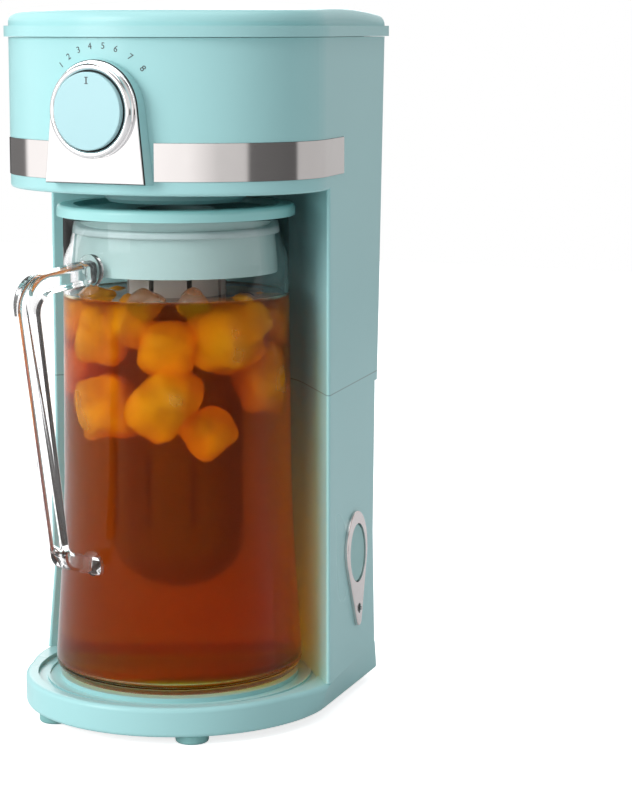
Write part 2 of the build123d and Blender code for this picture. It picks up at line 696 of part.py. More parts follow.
liner_level = RIM_BOTTOM + SLIP
with BuildPart() as lid_liner:
    add(head_block(WALL + GAP, liner_level, liner_level + LINER_THICK, rake=0))
    add(head_block(WALL + GAP, liner_level + LINER_THICK, liner_level + LINER_THICK + LINER_CURB, rake=0))
    add(head_block(WALL + GAP + LINER_THICK, liner_level + LINER_THICK,
                   liner_level + LINER_THICK + LINER_CURB, rake=0), mode=Mode.SUBTRACT)
    with BuildSketch(Plane.XY.offset(liner_level + LINER_THICK)):
        with GridLocations(0, LINER_RIB_PITCH, 1, LINER_RIBS):
            Rectangle(LINER_RIB_LENGTH, LINER_THICK)
    extrude(amount=LINER_CURB)
lid_liner.part.label = "lid_liner"
export_step(lid_liner.part, "parts/lid_liner.step")

# ---------------------------------------------------------------- polished band
for side, name in ((-1, "band_left"), (1, "band_right")):
    with BuildPart() as band:
        add(band_ring(-BAND_PROUD, BAND_DEPTH, 0))
        split(bisect_by=Plane.YZ, keep=Keep.TOP if side > 0 else Keep.BOTTOM)
    band.part.label = name
    export_step(band.part, f"parts/{name}.step")

# ---------------------------------------------------------------- dial and its arched plate
def arch_sketch(inset):
    """The arched plate from the front: round over the dial, straight sides, a flat foot."""
    radius = ARCH_RADIUS - inset
    drop = DIAL_LEVEL - ARCH_BOTTOM
    foot = ARCH_HALF_WIDTH - inset
    reach = hypot(foot, drop)
    turn = acos(radius / reach) - atan2(drop, foot)
    touch_x, touch_z = radius * cos(turn), radius * sin(turn)
    with BuildSketch(Plane.XZ.offset(-ARCH_FRONT_Y - PLATE_THICK)) as arch:
        with BuildLine():
            ThreePointArc((-touch_x, DIAL_LEVEL + touch_z), (0, DIAL_LEVEL + radius),
                          (touch_x, DIAL_LEVEL + touch_z))
            Polyline((touch_x, DIAL_LEVEL + touch_z), (foot, ARCH_BOTTOM + inset),
                     (-foot, ARCH_BOTTOM + inset), (-touch_x, DIAL_LEVEL + touch_z))
        make_face()
    return arch.sketch


with BuildPart() as dial_arch:
    extrude(arch_sketch(0), amount=-HEAD_FRONT_DEPTH / 3)
    add(head_block(-SLIP, HEAD_BOTTOM, BODY_TOP), mode=Mode.SUBTRACT)
    with BuildSketch(Plane.XZ.offset(-HEAD_FRONT_Y)):
        with Locations((0, DIAL_LEVEL)):
            Circle(SHAFT_RADIUS + GAP)
    extrude(amount=HEAD_FRONT_DEPTH + PLATE_THICK * 4, mode=Mode.SUBTRACT)
dial_arch.part.label = "dial_arch"
export_step(dial_arch.part, "parts/dial_arch.step")

with BuildPart() as dial_plate:
    extrude(arch_sketch(PLATE_MARGIN), amount=PLATE_THICK)
    fillet(dial_plate.faces().sort_by(Axis.Y)[0].edges(), PLATE_THICK / 3)
    with BuildSketch(Plane.XZ.offset(-ARCH_FRONT_Y)):
        with Locations((0, DIAL_LEVEL)):
            Circle(SHAFT_RADIUS + GAP)
    extrude(amount=-PLATE_THICK, mode=Mode.SUBTRACT)
dial_plate.part.label = "dial_plate"
export_step(dial_plate.part, "parts/dial_plate.step")

dial_face = Plane.XZ.offset(-CAP_FRONT_Y)
ring_back_y = ARCH_FRONT_Y - GAP
with BuildPart() as dial_ring:
    with BuildSketch(Plane.XZ.offset(-ring_back_y)):
        with Locations((0, DIAL_LEVEL)):
            Circle(RING_OUTER)
            Circle(GROOVE_OUTER, mode=Mode.SUBTRACT)
    extrude(amount=ring_back_y - RING_FRONT_Y)
    fillet(dial_ring.faces().sort_by(Axis.Y)[0].edges(), GROOVE_WIDTH)
dial_ring.part.label = "dial_ring"
export_step(dial_ring.part, "parts/dial_ring.step")

with BuildPart() as dial_cap:
    with BuildSketch(Plane.XZ.offset(-ring_back_y)):
        with Locations((0, DIAL_LEVEL)):
            Circle(GROOVE_OUTER)
            Circle(SHAFT_RADIUS, mode=Mode.SUBTRACT)
    extrude(amount=CAP_HUB)
    with BuildSketch(Plane.XZ.offset(-ring_back_y + CAP_HUB)):
        with Locations((0, DIAL_LEVEL)):
            Circle(GROOVE_OUTER - GROOVE_WIDTH)
            Circle(SHAFT_RADIUS, mode=Mode.SUBTRACT)
    extrude(amount=ring_back_y - CAP_HUB - CAP_FRONT_Y - CAP_SKIN)
    with BuildSketch(dial_face):
        with Locations((0, DIAL_LEVEL)):
            Circle(GROOVE_OUTER - GROOVE_WIDTH)
    extrude(amount=-CAP_SKIN)
    fillet(dial_cap.faces().sort_by(Axis.Y)[0].edges(), GROOVE_WIDTH)
    with BuildSketch(dial_face):
        with Locations((0, DIAL_LEVEL + (TICK_INNER + TICK_OUTER) / 2)):
            SlotOverall(TICK_OUTER - TICK_INNER, TICK_WIDTH, rotation=90)
    extrude(amount=-TICK_DEPTH, mode=Mode.SUBTRACT)
dial_cap.part.label = "dial_cap"
export_step(dial_cap.part, "parts/dial_cap.step")

shaft_front_y = CAP_FRONT_Y + CAP_SKIN
with BuildPart() as dial_shaft:
    with BuildSketch(Plane.XZ.offset(-shaft_front_y)):
        with Locations((0, DIAL_LEVEL)):
            Circle(SHAFT_RADIUS)
    extrude(amount=shaft_front_y - SHAFT_END_Y)
dial_shaft.part.label = "dial_shaft"
export_step(dial_shaft.part, "parts/dial_shaft.step")

with BuildPart() as flow_vane:
    with BuildSketch(Plane.XZ.offset(-SHAFT_END_Y)):
        with Locations((0, DIAL_LEVEL)):
            Circle(VANE_RADIUS)
            Circle(SHAFT_RADIUS, mode=Mode.SUBTRACT)
        with Locations((0, DIAL_LEVEL - VANE_RADIUS)):
            Rectangle(VANE_RADIUS, VANE_RADIUS, mode=Mode.SUBTRACT)
    extrude(amount=VANE_THICK)
flow_vane.part.label = "flow_vane"
export_step(flow_vane.part, "parts/flow_vane.step")

# ---------------------------------------------------------------- pitcher
def jar_side(inset):
    """The jar's side from its foot to its rim, as control points of the flare and the rim point."""
    foot = (JAR_RADIUS_FOOT - inset, JAR_FOOT)
    steer = [(radius - inset, level) for radius, level in JAR_FLARE]
    return [foot, *steer, (JAR_RADIUS_MID - inset, JAR_MID)], (JAR_RADIUS_TOP - inset, JAR_TOP)


def jar_outer(grow):
    """The jar as a filled body, grown by a margin."""
    flare, rim = jar_side(-grow)
    bottom = JAR_BOTTOM - grow
    radius = JAR_CORNER + grow
    foot_x, foot_z = flare[0]
    with BuildPart() as body:
        with BuildSketch(Plane.XZ):
            with BuildLine():
                Polyline((0, JAR_TOP), (0, bottom), (foot_x - radius, bottom))
                RadiusArc((foot_x - radius, bottom), (foot_x, bottom + radius), -radius)
                Line((foot_x, bottom + radius), flare[0])
                Bezier(*flare)
                Polyline(flare[-1], rim, (0, JAR_TOP))
            make_face()
        revolve(axis=Axis.Z)
    return body.part


def jar_inner():
    """The space inside the jar, open at the rim."""
    flare, rim = jar_side(JAR_WALL)
    bottom = JAR_BOTTOM + JAR_FLOOR
    radius = JAR_CORNER - JAR_WALL
    foot_x, foot_z = flare[0]
    with BuildPart() as body:
        with BuildSketch(Plane.XZ):
            with BuildLine():
                Polyline((0, JAR_TOP), (0, bottom), (foot_x - radius, bottom))
                RadiusArc((foot_x - radius, bottom), (foot_x, bottom + radius), -radius)
                Polyline((foot_x, bottom + radius), (flare[1][0], flare[1][1]))
                Bezier(flare[1], flare[2], flare[3])
                Polyline(flare[-1], rim, (0, JAR_TOP))
            make_face()
        revolve(axis=Axis.Z)
    return body.part


with BuildPart() as pitcher_jar:
    add(jar_outer(0))
    add(jar_inner(), mode=Mode.SUBTRACT)
    with BuildSketch(Plane.XY.offset(JAR_BOTTOM)):
        Circle(JAR_PUNT_RADIUS)
    extrude(amount=JAR_PUNT, mode=Mode.SUBTRACT)
    fillet(pitcher_jar.edges().group_by(Axis.Z)[-1], JAR_WALL / 3)
pitcher_jar.part.label = "pitcher_jar"
export_step(pitcher_jar.part, "parts/pitcher_jar.step")

handle_turn = radians(HANDLE_TURN)
handle_plane = Plane(origin=(0, 0, 0), x_dir=(-sin(handle_turn), -cos(handle_turn), 0),
                     z_dir=(-cos(handle_turn), sin(handle_turn), 0))
with BuildPart() as pitcher_handle:
    with BuildSketch(handle_plane):
        with BuildLine():
            Polyline(*HANDLE_OUTER, *HANDLE_INNER, close=True)
        make_face()
        bends = zip(HANDLE_OUTER[1:3] + HANDLE_INNER[1:3], HANDLE_OUTER_RADII + HANDLE_INNER_RADII)
        for place, radius in bends:
            fillet(vertices().sort_by_distance(Vector(*place))[0], radius)
    extrude(amount=HANDLE_WIDTH / 2, both=True)
    cheeks = pitcher_handle.faces().filter_by(
        lambda f: abs(f.normal_at().dot(handle_plane.z_dir)) > 0.99)
    fillet(cheeks.edges(), HANDLE_EDGE)
    for level in PAD_LEVELS:
        pad_plane = Plane(origin=handle_plane.from_local_coords(Vector(COLLAR_RADIUS, level)),
                          x_dir=handle_plane.z_dir, z_dir=handle_plane.x_dir)
        with BuildSketch(pad_plane):
            Circle(PAD_RADIUS)
        extrude(amount=JAR_RADIUS_TOP - COLLAR_RADIUS + PAD_THICK)
    add(jar_outer(RUNNING), mode=Mode.SUBTRACT)
pitcher_handle.part.label = "pitcher_handle"
export_step(pitcher_handle.part, "parts/pitcher_handle.step")

# ---------------------------------------------------------------- pitcher's lid and infuser
with BuildPart() as pitcher_lid:
    with BuildSketch(Plane.XY.offset(LID_BOTTOM)):
        Circle(LID_DISC_RADIUS)
    extrude(amount=LID_DISC_THICK)
    fillet(pitcher_lid.edges().group_by(Axis.Z)[-1], LID_EDGE)
    with BuildSketch(Plane.XY.offset(LID_TOP)):
        Circle(LID_DISH_RADIUS)
    extrude(amount=-LID_DISH_DEPTH, mode=Mode.SUBTRACT)
    with BuildSketch(Plane.XY.offset(LID_BOTTOM)):
        Circle(INFUSER_RADIUS + SOCKET_WALL)
        Circle(INFUSER_RADIUS, mode=Mode.SUBTRACT)
    extrude(amount=-SOCKET_DEPTH)
    with BuildSketch(Plane.XY.offset(LID_BOTTOM)):
        Circle(LID_MOUTH_RADIUS)
    extrude(amount=LID_DISC_THICK, mode=Mode.SUBTRACT)
pitcher_lid.part.label = "pitcher_lid"
export_step(pitcher_lid.part, "parts/pitcher_lid.step")

with BuildPart() as lid_collar:
    with BuildSketch(Plane.XY.offset(LID_BOTTOM - COLLAR_HEIGHT)):
        Circle(COLLAR_RADIUS)
        Circle(COLLAR_RADIUS - COLLAR_WALL, mode=Mode.SUBTRACT)
    extrude(amount=COLLAR_HEIGHT)
lid_collar.part.label = "lid_collar"
export_step(lid_collar.part, "parts/lid_collar.step")

seal_radius = JAR_RADIUS_TOP - JAR_WALL - GAP
with BuildPart() as lid_seal:
    with BuildSketch(Plane.XY.offset(LID_BOTTOM - SEAL_DROP)):
        Circle(seal_radius)
        Circle(COLLAR_RADIUS, mode=Mode.SUBTRACT)
    extrude(amount=SEAL_HEIGHT)
    fillet(lid_seal.faces().filter_by(GeomType.CYLINDER).sort_by(SortBy.AREA)[-1].edges(), SEAL_HEIGHT / 3)
lid_seal.part.label = "lid_seal"
export_step(lid_seal.part, "parts/lid_seal.step")

infuser_foot = INFUSER_BOTTOM + INFUSER_RADIUS
with BuildPart() as infuser_tube:
    with BuildSketch(Plane.XY.offset(infuser_foot)):
        Circle(INFUSER_RADIUS)
        Circle(INFUSER_RADIUS - INFUSER_WALL, mode=Mode.SUBTRACT)
    extrude(amount=LID_BOTTOM - infuser_foot)
    for turn in range(SLOTS_ROUND // 2):
        slot_plane = Plane(origin=(0, 0, SLOT_FIRST), x_dir=(cos(pi * turn / 4), sin(pi * turn / 4), 0),
                           z_dir=(sin(pi * turn / 4), -cos(pi * turn / 4), 0))
        with BuildSketch(slot_plane):
            with Locations(*[(0, row * SLOT_PITCH) for row in range(SLOT_ROWS)]):
                SlotOverall(SLOT_LENGTH, SLOT_WIDTH, rotation=90)
        extrude(amount=INFUSER_RADIUS, both=True, mode=Mode.SUBTRACT)
infuser_tube.part.label = "infuser_tube"
export_step(infuser_tube.part, "parts/infuser_tube.step")

with BuildPart() as infuser_cap:
    with Locations((0, 0, infuser_foot)):
        Sphere(INFUSER_RADIUS)
        Sphere(INFUSER_RADIUS - INFUSER_WALL, mode=Mode.SUBTRACT)
    split(bisect_by=Plane.XY.offset(infuser_foot), keep=Keep.BOTTOM)
    with BuildSketch(Plane.XY.offset(INFUSER_BOTTOM)):
        with PolarLocations(CAP_HOLE_RING, CAP_HOLES):
            Circle(CAP_HOLE_RADIUS)
        Circle(CAP_HOLE_RADIUS)
    extrude(amount=INFUSER_RADIUS, mode=Mode.SUBTRACT)
infuser_cap.part.label = "infuser_cap"
export_step(infuser_cap.part, "parts/infuser_cap.step")

# ---------------------------------------------------------------- head inside
with BuildPart() as drip_boss:
    with BuildSketch(Plane.XZ):
        with BuildLine():
            low = HEAD_BOTTOM - BOSS_DROP
            high = HEAD_BOTTOM + WALL + BOSS_WALL / 2
            Polyline((BOSS_MOUTH, low), (BOSS_RADIUS - UNDER_EDGE, low), (BOSS_RADIUS, low + UNDER_EDGE),
                     (BOSS_RADIUS, HEAD_BOTTOM), (BOSS_SPIGOT, HEAD_BOTTOM), (BOSS_SPIGOT, high),
                     (BOSS_SPIGOT - BOSS_WALL, high), (BOSS_MOUTH, low + BOSS_WALL), close=True)
        make_face()
    revolve(axis=Axis.Z)
drip_boss.part.label = "drip_boss"
export_step(drip_boss.part, "parts/drip_boss.step")

tank_x = (TANK_LEFT + TANK_RIGHT) / 2
tank_width = TANK_RIGHT - TANK_LEFT


def tank_box(front_y, back_y, low, high, inset):
    """One step of the water tank, drawn in from its outer face by an inset."""
    with BuildPart() as box:
        with BuildSketch(Plane.XY.offset(low)):
            with Locations((tank_x, (front_y + back_y) / 2)):
                RectangleRounded(tank_width - 2 * inset, back_y - front_y - 2 * inset, TANK_CORNER - inset)
        extrude(amount=high - low)
    return box.part


with BuildPart() as inner_deck:
    add(head_block(WALL + GAP, DECK_LEVEL, DECK_TOP))
    with BuildSketch(Plane.XY.offset(DECK_LEVEL)):
        with Locations((0, BASKET_Y)):
            Circle(BASKET_RADIUS + BASKET_CLEAR)
        with Locations((RISER_X, PIPE_Y)):
            Circle(HOSE_RADIUS + SLIP)
    extrude(amount=DECK_THICK, mode=Mode.SUBTRACT)
    add(tank_box(TANK_FRONT_Y, TANK_BACK_Y, DECK_LEVEL, DECK_TOP, -GAP), mode=Mode.SUBTRACT)
inner_deck.part.label = "inner_deck"
export_step(inner_deck.part, "parts/inner_deck.step")

with BuildPart() as brew_basket:
    with BuildSketch(Plane.XY.offset(BASKET_FLOOR)):
        with Locations((0, BASKET_Y)):
            Circle(BASKET_RADIUS)
    extrude(amount=DECK_TOP - BASKET_FLOOR)
    with BuildSketch(Plane.XY.offset(DECK_TOP)):
        with Locations((0, BASKET_Y)):
            Circle(BASKET_FLANGE)
    extrude(amount=FLANGE_THICK)
    with BuildSketch(Plane.XY.offset(BASKET_FLOOR + BASKET_WALL)):
        with Locations((0, BASKET_Y)):
            Circle(BASKET_RADIUS - BASKET_WALL)
    extrude(amount=DECK_TOP + FLANGE_THICK - BASKET_FLOOR, mode=Mode.SUBTRACT)
    with BuildSketch(Plane.XY.offset(NOZZLE_END)):
        Circle(NOZZLE_RADIUS)
    extrude(amount=BASKET_FLOOR - NOZZLE_END)
    with BuildSketch(Plane.XY.offset(NOZZLE_END)):
        Circle(NOZZLE_BORE)
    extrude(amount=BASKET_FLOOR + BASKET_WALL - NOZZLE_END, mode=Mode.SUBTRACT)
brew_basket.part.label = "brew_basket"
export_step(brew_basket.part, "parts/brew_basket.step")

filter_radius = BASKET_RADIUS - BASKET_WALL - FILTER_CLEAR
filter_floor = BASKET_FLOOR + BASKET_WALL + 2 * FILTER_CLEAR
filter_rim = DECK_TOP + FLANGE_THICK
with BuildPart() as basket_filter:
    with BuildSketch(Plane.XY.offset(filter_floor)):
        with Locations((0, BASKET_Y)):
            Circle(filter_radius)
    extrude(amount=filter_rim - filter_floor)
    with BuildSketch(Plane.XY.offset(filter_rim)):
        with Locations((0, BASKET_Y)):
            Circle(filter_radius + BASKET_WALL + FILTER_CLEAR)
    extrude(amount=FILTER_WALL)
    with BuildSketch(Plane.XY.offset(filter_floor + FILTER_WALL)):
        with Locations((0, BASKET_Y)):
            Circle(filter_radius - FILTER_WALL)
    extrude(amount=filter_rim - filter_floor, mode=Mode.SUBTRACT)
    window_level = (filter_floor + filter_rim) / 2
    for turn in range(FILTER_WINDOWS // 2):
        angle = 2 * pi * turn / FILTER_WINDOWS
        window_plane = Plane(origin=(0, BASKET_Y, window_level), x_dir=(cos(angle), sin(angle), 0),
                             z_dir=(sin(angle), -cos(angle), 0))
        with BuildSketch(window_plane):
            RectangleRounded(WINDOW_WIDTH, WINDOW_HEIGHT, FLANGE_THICK)
        extrude(amount=filter_radius, both=True, mode=Mode.SUBTRACT)
basket_filter.part.label = "basket_filter"
export_step(basket_filter.part, "parts/basket_filter.step")

# ---------------------------------------------------------------- water tank and its plumbing
tank_rim = DECK_TOP + TANK_WALL
with BuildPart() as reservoir:
    add(tank_box(TANK_FRONT_Y, TANK_BACK_Y, TANK_STEP, tank_rim, 0))
    add(tank_box(TANK_LOW_FRONT_Y, TANK_LOW_BACK_Y, TANK_BOTTOM, TANK_STEP, 0))
    add(tank_box(TANK_FRONT_Y, TANK_BACK_Y, DECK_TOP, tank_rim, -TANK_FLANGE))
    add(tank_box(TANK_FRONT_Y, TANK_BACK_Y, TANK_STEP + TANK_WALL, tank_rim, TANK_WALL), mode=Mode.SUBTRACT)
    add(tank_box(TANK_LOW_FRONT_Y, TANK_LOW_BACK_Y, TANK_BOTTOM + TANK_WALL, TANK_STEP + TANK_WALL, TANK_WALL),
        mode=Mode.SUBTRACT)
    with BuildSketch(Plane.XY.offset(TANK_BOTTOM - OUTLET_DROP)):
        with Locations((INLET_X, PIPE_Y)):
            Circle(HOSE_RADIUS)
    extrude(amount=OUTLET_DROP)
    with BuildSketch(Plane.XY.offset(TANK_BOTTOM - OUTLET_DROP)):
        with Locations((INLET_X, PIPE_Y)):
            Circle(HOSE_BORE)
    extrude(amount=OUTLET_DROP + TANK_WALL, mode=Mode.SUBTRACT)
reservoir.part.label = "reservoir"
export_step(reservoir.part, "parts/reservoir.step")

valve_top = TANK_BOTTOM - OUTLET_DROP


def upright_tube(x, low, high, radius, bore):
    """An upright tube in the plane of the pipes."""
    with BuildPart() as tube:
        with BuildSketch(Plane.XY.offset(low)):
            with Locations((x, PIPE_Y)):
                Circle(radius)
                Circle(bore, mode=Mode.SUBTRACT)
        extrude(amount=high - low)
    return tube.part


with BuildPart() as check_valve:
    add(upright_tube(INLET_X, valve_top - VALVE_HEIGHT, valve_top, VALVE_RADIUS, HOSE_BORE))
check_valve.part.label = "check_valve"
export_step(check_valve.part, "parts/check_valve.step")

with BuildPart() as inlet_hose:
    add(upright_tube(INLET_X, HEATER_TOP, valve_top - VALVE_HEIGHT, HOSE_RADIUS, HOSE_BORE))
inlet_hose.part.label = "inlet_hose"
export_step(inlet_hose.part, "parts/inlet_hose.step")

with BuildPart() as riser_hose:
    add(upright_tube(RISER_X, HEATER_TOP, DECK_TOP, HOSE_RADIUS, HOSE_BORE))
riser_hose.part.label = "riser_hose"
export_step(riser_hose.part, "parts/riser_hose.step")


def u_tube(y, top, radius, bore):
    """A tube that runs down, across and up again between the two hoses."""
    with BuildPart() as tube:
        with BuildLine(Plane.XZ.offset(-y)):
            FilletPolyline((INLET_X, top), (INLET_X, HEATER_BOTTOM), (RISER_X, HEATER_BOTTOM),
                           (RISER_X, top), radius=HEATER_BEND)
        with BuildSketch(Plane.XY.offset(top)):
            with Locations((INLET_X, y)):
                Circle(radius)
                if bore:
                    Circle(bore, mode=Mode.SUBTRACT)
        sweep()
    return tube.part


with BuildPart() as heater:
    add(u_tube(PIPE_Y, HEATER_TOP, HEATER_RADIUS, 0))
    add(u_tube(SHEATH_Y, HEATER_TOP - HEATER_BEND, SHEATH_RADIUS, 0))
    add(u_tube(PIPE_Y, HEATER_TOP, HOSE_BORE, 0), mode=Mode.SUBTRACT)
heater.part.label = "heater"
export_step(heater.part, "parts/heater.step")

strap_y = SHEATH_Y + SHEATH_RADIUS
with BuildPart() as heater_strap:
    with BuildSketch(Plane.XZ.offset(-strap_y)):
        with Locations(((STRAP_LEFT + STRAP_RIGHT) / 2, STRAP_LEVEL)):
            Rectangle(STRAP_RIGHT - STRAP_LEFT, STRAP_HEIGHT)
    extrude(amount=-STRAP_THICK)
heater_strap.part.label = "heater_strap"
export_step(heater_strap.part, "parts/heater_strap.step")

with BuildPart() as thermostat:
    with BuildSketch(Plane.XZ.offset(-strap_y)):
        with Locations(((INLET_X + RISER_X) / 2, STRAP_LEVEL)):
            Circle(THERMOSTAT_RADIUS)
    extrude(amount=THERMOSTAT_HEIGHT)
thermostat.part.label = "thermostat"
export_step(thermostat.part, "parts/thermostat.step")

spout_x, spout_y = SPOUT_ROUTE[-1]
with BuildPart() as water_spout:
    with BuildSketch(Plane.XY.offset(DECK_TOP)):
        with Locations((RISER_X, PIPE_Y)):
            Circle(SPOUT_FOOT)
    extrude(amount=FLANGE_THICK)
    with BuildSketch(Plane.XY.offset(DECK_TOP + FLANGE_THICK)):
        with Locations((RISER_X, PIPE_Y)):
            Circle(SPOUT_HEAD)
    extrude(amount=SPOUT_LEVEL + SPOUT_RADIUS - DECK_TOP - FLANGE_THICK)
    with BuildLine(Plane.XY.offset(SPOUT_LEVEL)) as route:
        FilletPolyline(*SPOUT_ROUTE, radius=SPOUT_BEND)
    with BuildSketch(Plane.XZ.offset(-PIPE_Y)):
        with Locations((RISER_X, SPOUT_LEVEL)):
            Circle(SPOUT_RADIUS)
    sweep(path=route.wires()[0])
    with BuildSketch(Plane.XY.offset(SPOUT_LEVEL - SPOUT_HEAD_HALF)):
        with Locations((spout_x, spout_y)):
            Circle(SPOUT_HEAD)
    extrude(amount=2 * SPOUT_HEAD_HALF)
    with BuildSketch(Plane.XY.offset(SPOUT_LEVEL - SPOUT_HEAD_HALF)):
        with Locations((spout_x, spout_y)):
            Circle(SPOUT_BORE)
    extrude(amount=SPOUT_HEAD_HALF, mode=Mode.SUBTRACT)
    with BuildSketch(Plane.XY.offset(DECK_TOP)):
        with Locations((RISER_X, PIPE_Y)):
            Circle(SPOUT_BORE)
    extrude(amount=SPOUT_LEVEL - DECK_TOP, mode=Mode.SUBTRACT)
water_spout.part.label = "water_spout"
export_step(water_spout.part, "parts/water_spout.step")

# ---------------------------------------------------------------- power button and its bezel
with BuildPart() as switch_bezel:
    with BuildSketch(flank.offset(-BEZEL_PROUD)):
        with Locations((0, BEZEL_LEVEL)):
            Circle(BEZEL_RADIUS)
        with Locations((0, BEZEL_TIP_LEVEL)):
            Circle(BEZEL_TIP_RADIUS)
        make_hull()
    extrude(amount=2 * BEZEL_PROUD)
    fillet(switch_bezel.faces().sort_by(Axis.X)[-1].edges(), BEZEL_EDGE)
    with BuildSketch(flank):
        with Locations((0, BUTTON_LEVEL)):
            Circle(BUTTON_RADIUS + GAP)
        with Locations((0, LENS_LEVEL)):
            Circle(LENS_RADIUS + RUNNING)
    extrude(amount=2 * BEZEL_PROUD, both=True, mode=Mode.SUBTRACT)
    add(column_block(-SLIP, RIM_TOP, lower_top, lower_back_plane(0)), mode=Mode.SUBTRACT)
switch_bezel.part.label = "switch_bezel"
export_step(switch_bezel.part, "parts/switch_bezel.step")

with BuildPart() as indicator_lens:
    with BuildSketch(flank.offset(-WALL)):
        with Locations((0, LENS_LEVEL)):
            Circle(LENS_RADIUS)
    extrude(amount=WALL + BEZEL_PROUD + BEZEL_EDGE)
    fillet(indicator_lens.edges().sort_by(Axis.X)[-1], LENS_RADIUS / 2)
indicator_lens.part.label = "indicator_lens"
export_step(indicator_lens.part, "parts/indicator_lens.step")

button_flange = -WALL - GAP
with BuildPart() as power_button:
    with BuildSketch(flank.offset(BUTTON_PROUD - BUTTON_THICK - BUTTON_PROUD)):
        with Locations((0, BUTTON_LEVEL)):
            Circle(BUTTON_RADIUS)
    extrude(amount=BUTTON_THICK + BUTTON_PROUD)
    fillet(power_button.faces().sort_by(Axis.X)[-1].edges(), BEZEL_EDGE)
    with BuildSketch(flank.offset(-BUTTON_THICK)):
        with Locations((0, BUTTON_LEVEL)):
            Circle(BUTTON_FLANGE)
    extrude(amount=BUTTON_THICK + button_flange)
power_button.part.label = "power_button"
export_step(power_button.part, "parts/power_button.step")

switch_face = -BUTTON_THICK - PLUNGER_LENGTH - BUTTON_TRAVEL - GAP
with BuildPart() as switch_plunger:
    with BuildSketch(flank.offset(-BUTTON_THICK)):
        with Locations((0, BUTTON_LEVEL)):
            Circle(PLUNGER_RADIUS)
    extrude(amount=-PLUNGER_LENGTH)
switch_plunger.part.label = "switch_plunger"
export_step(switch_plunger.part, "parts/switch_plunger.step")

with BuildPart() as switch_body:
    with BuildSketch(flank.offset(switch_face)):
        with Locations((SWITCH_SHIFT, BUTTON_LEVEL)):
            RectangleRounded(SWITCH_WIDTH, SWITCH_HEIGHT, BRACKET_THICK)
    extrude(amount=-SWITCH_DEPTH)
switch_body.part.label = "switch_body"
export_step(switch_body.part, "parts/switch_body.step")

bracket_back = switch_face - SWITCH_DEPTH
with BuildPart() as switch_bracket:
    with BuildSketch(flank.offset(-WALL - SLIP)):
        for way in (-1, 1):
            with Locations((SWITCH_SHIFT, BUTTON_LEVEL + way * BRACKET_HALF)):
                Rectangle(BRACKET_WIDTH, BRACKET_THICK)
    extrude(amount=bracket_back + WALL + SLIP)
    with BuildSketch(flank.offset(bracket_back)):
        with Locations((SWITCH_SHIFT, BUTTON_LEVEL)):
            Rectangle(BRACKET_WIDTH, 2 * BRACKET_HALF + BRACKET_THICK)
    extrude(amount=-BRACKET_THICK)
switch_bracket.part.label = "switch_bracket"
export_step(switch_bracket.part, "parts/switch_bracket.step")

with BuildPart() as cord_gland:
    with BuildSketch(gland_seat):
        Circle(GLAND_FLANGE)
    extrude(amount=GLAND_LIP)
    fillet(cord_gland.edges().sort_by(Axis.Y)[-1], GLAND_LIP / 2)
    with BuildSketch(gland_seat):
        Circle(GLAND_RADIUS)
    extrude(amount=-WALL - GLAND_LIP)
    with BuildSketch(gland_seat.offset(-WALL)):
        Circle(GLAND_RADIUS + GLAND_LIP)
    extrude(amount=-GLAND_LIP)
    with BuildSketch(gland_seat.offset(-WALL - GLAND_LIP)):
        Circle(GLAND_BORE)
    extrude(amount=WALL + 2 * GLAND_LIP, mode=Mode.SUBTRACT)
cord_gland.part.label = "cord_gland"
export_step(cord_gland.part, "parts/cord_gland.step")
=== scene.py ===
import bpy
import bmesh
import random
from math import acos, atan2, cos, pi, radians, sin, sqrt
from mathutils import Matrix, Vector, noise


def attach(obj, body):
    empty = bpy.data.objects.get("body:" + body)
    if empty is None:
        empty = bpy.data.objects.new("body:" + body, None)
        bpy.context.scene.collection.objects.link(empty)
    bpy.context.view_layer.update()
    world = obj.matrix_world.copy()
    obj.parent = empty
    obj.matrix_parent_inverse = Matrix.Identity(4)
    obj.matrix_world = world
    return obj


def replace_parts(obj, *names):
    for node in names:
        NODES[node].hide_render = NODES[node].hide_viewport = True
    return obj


# Iced tea maker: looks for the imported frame. Metres, +Z up, the front faces -Y.
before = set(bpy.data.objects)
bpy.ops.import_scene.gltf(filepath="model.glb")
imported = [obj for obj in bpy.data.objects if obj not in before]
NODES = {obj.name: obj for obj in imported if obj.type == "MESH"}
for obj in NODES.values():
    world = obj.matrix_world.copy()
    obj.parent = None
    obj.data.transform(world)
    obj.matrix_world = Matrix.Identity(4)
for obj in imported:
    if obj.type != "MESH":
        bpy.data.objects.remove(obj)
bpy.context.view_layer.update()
MM = 0.001

# ---------------------------------------------------------------- places taken over from the solids, in mm
HEAD_HALF = 94.1
HEAD_TAPER = radians(11.1)
HEAD_CENTRE_Y = -7.2
HEAD_DEPTH = 73.8
DIAL_LEVEL = 346.4
CAP_FRONT_Y = -93.0
NUMBER_RADIUS = 34.3
NUMBER_ANGLES = (-45.9, -34.2, -21.4, -8.4, 5.3, 18.5, 34.0, 49.3)
JAR_BOTTOM = 22.0
JAR_TOP = 285.5
JAR_WALL = 2.5
JAR_FLOOR = 6.5
JAR_CORNER = 9.0
JAR_FOOT = (71.2, 33.0)
JAR_FLARE = ((69.4, 62.0), (65.9, 98.0), (65.2, 140.0))
JAR_RIM_RADIUS = 63.9
JAR_PUNT = 1.5                 # the shallow hollow under the jar's floor
JAR_PUNT_RADIUS = 50.0
JAR_RIM_ROUND = 1.2
SEAM_LEVEL = 186.2             # where the two mouldings of the housing meet
ARCH_RADIUS = 27.2
ARCH_HALF_WIDTH = 31.3
ARCH_BOTTOM = 307.5
ARCH_FRONT_Y = -85.2

# ---------------------------------------------------------------- sizes of the looks alone, in mm
TEA_LEVEL = 241.0
OVERLAP = 0.12                 # the tea reaches this far into the wall, so no air film shows between them
STATIONS = [180.0, 220.0, 260.0]    # levels of the rings up the straight part of the jar
NUMBER_HEIGHT = 4.9


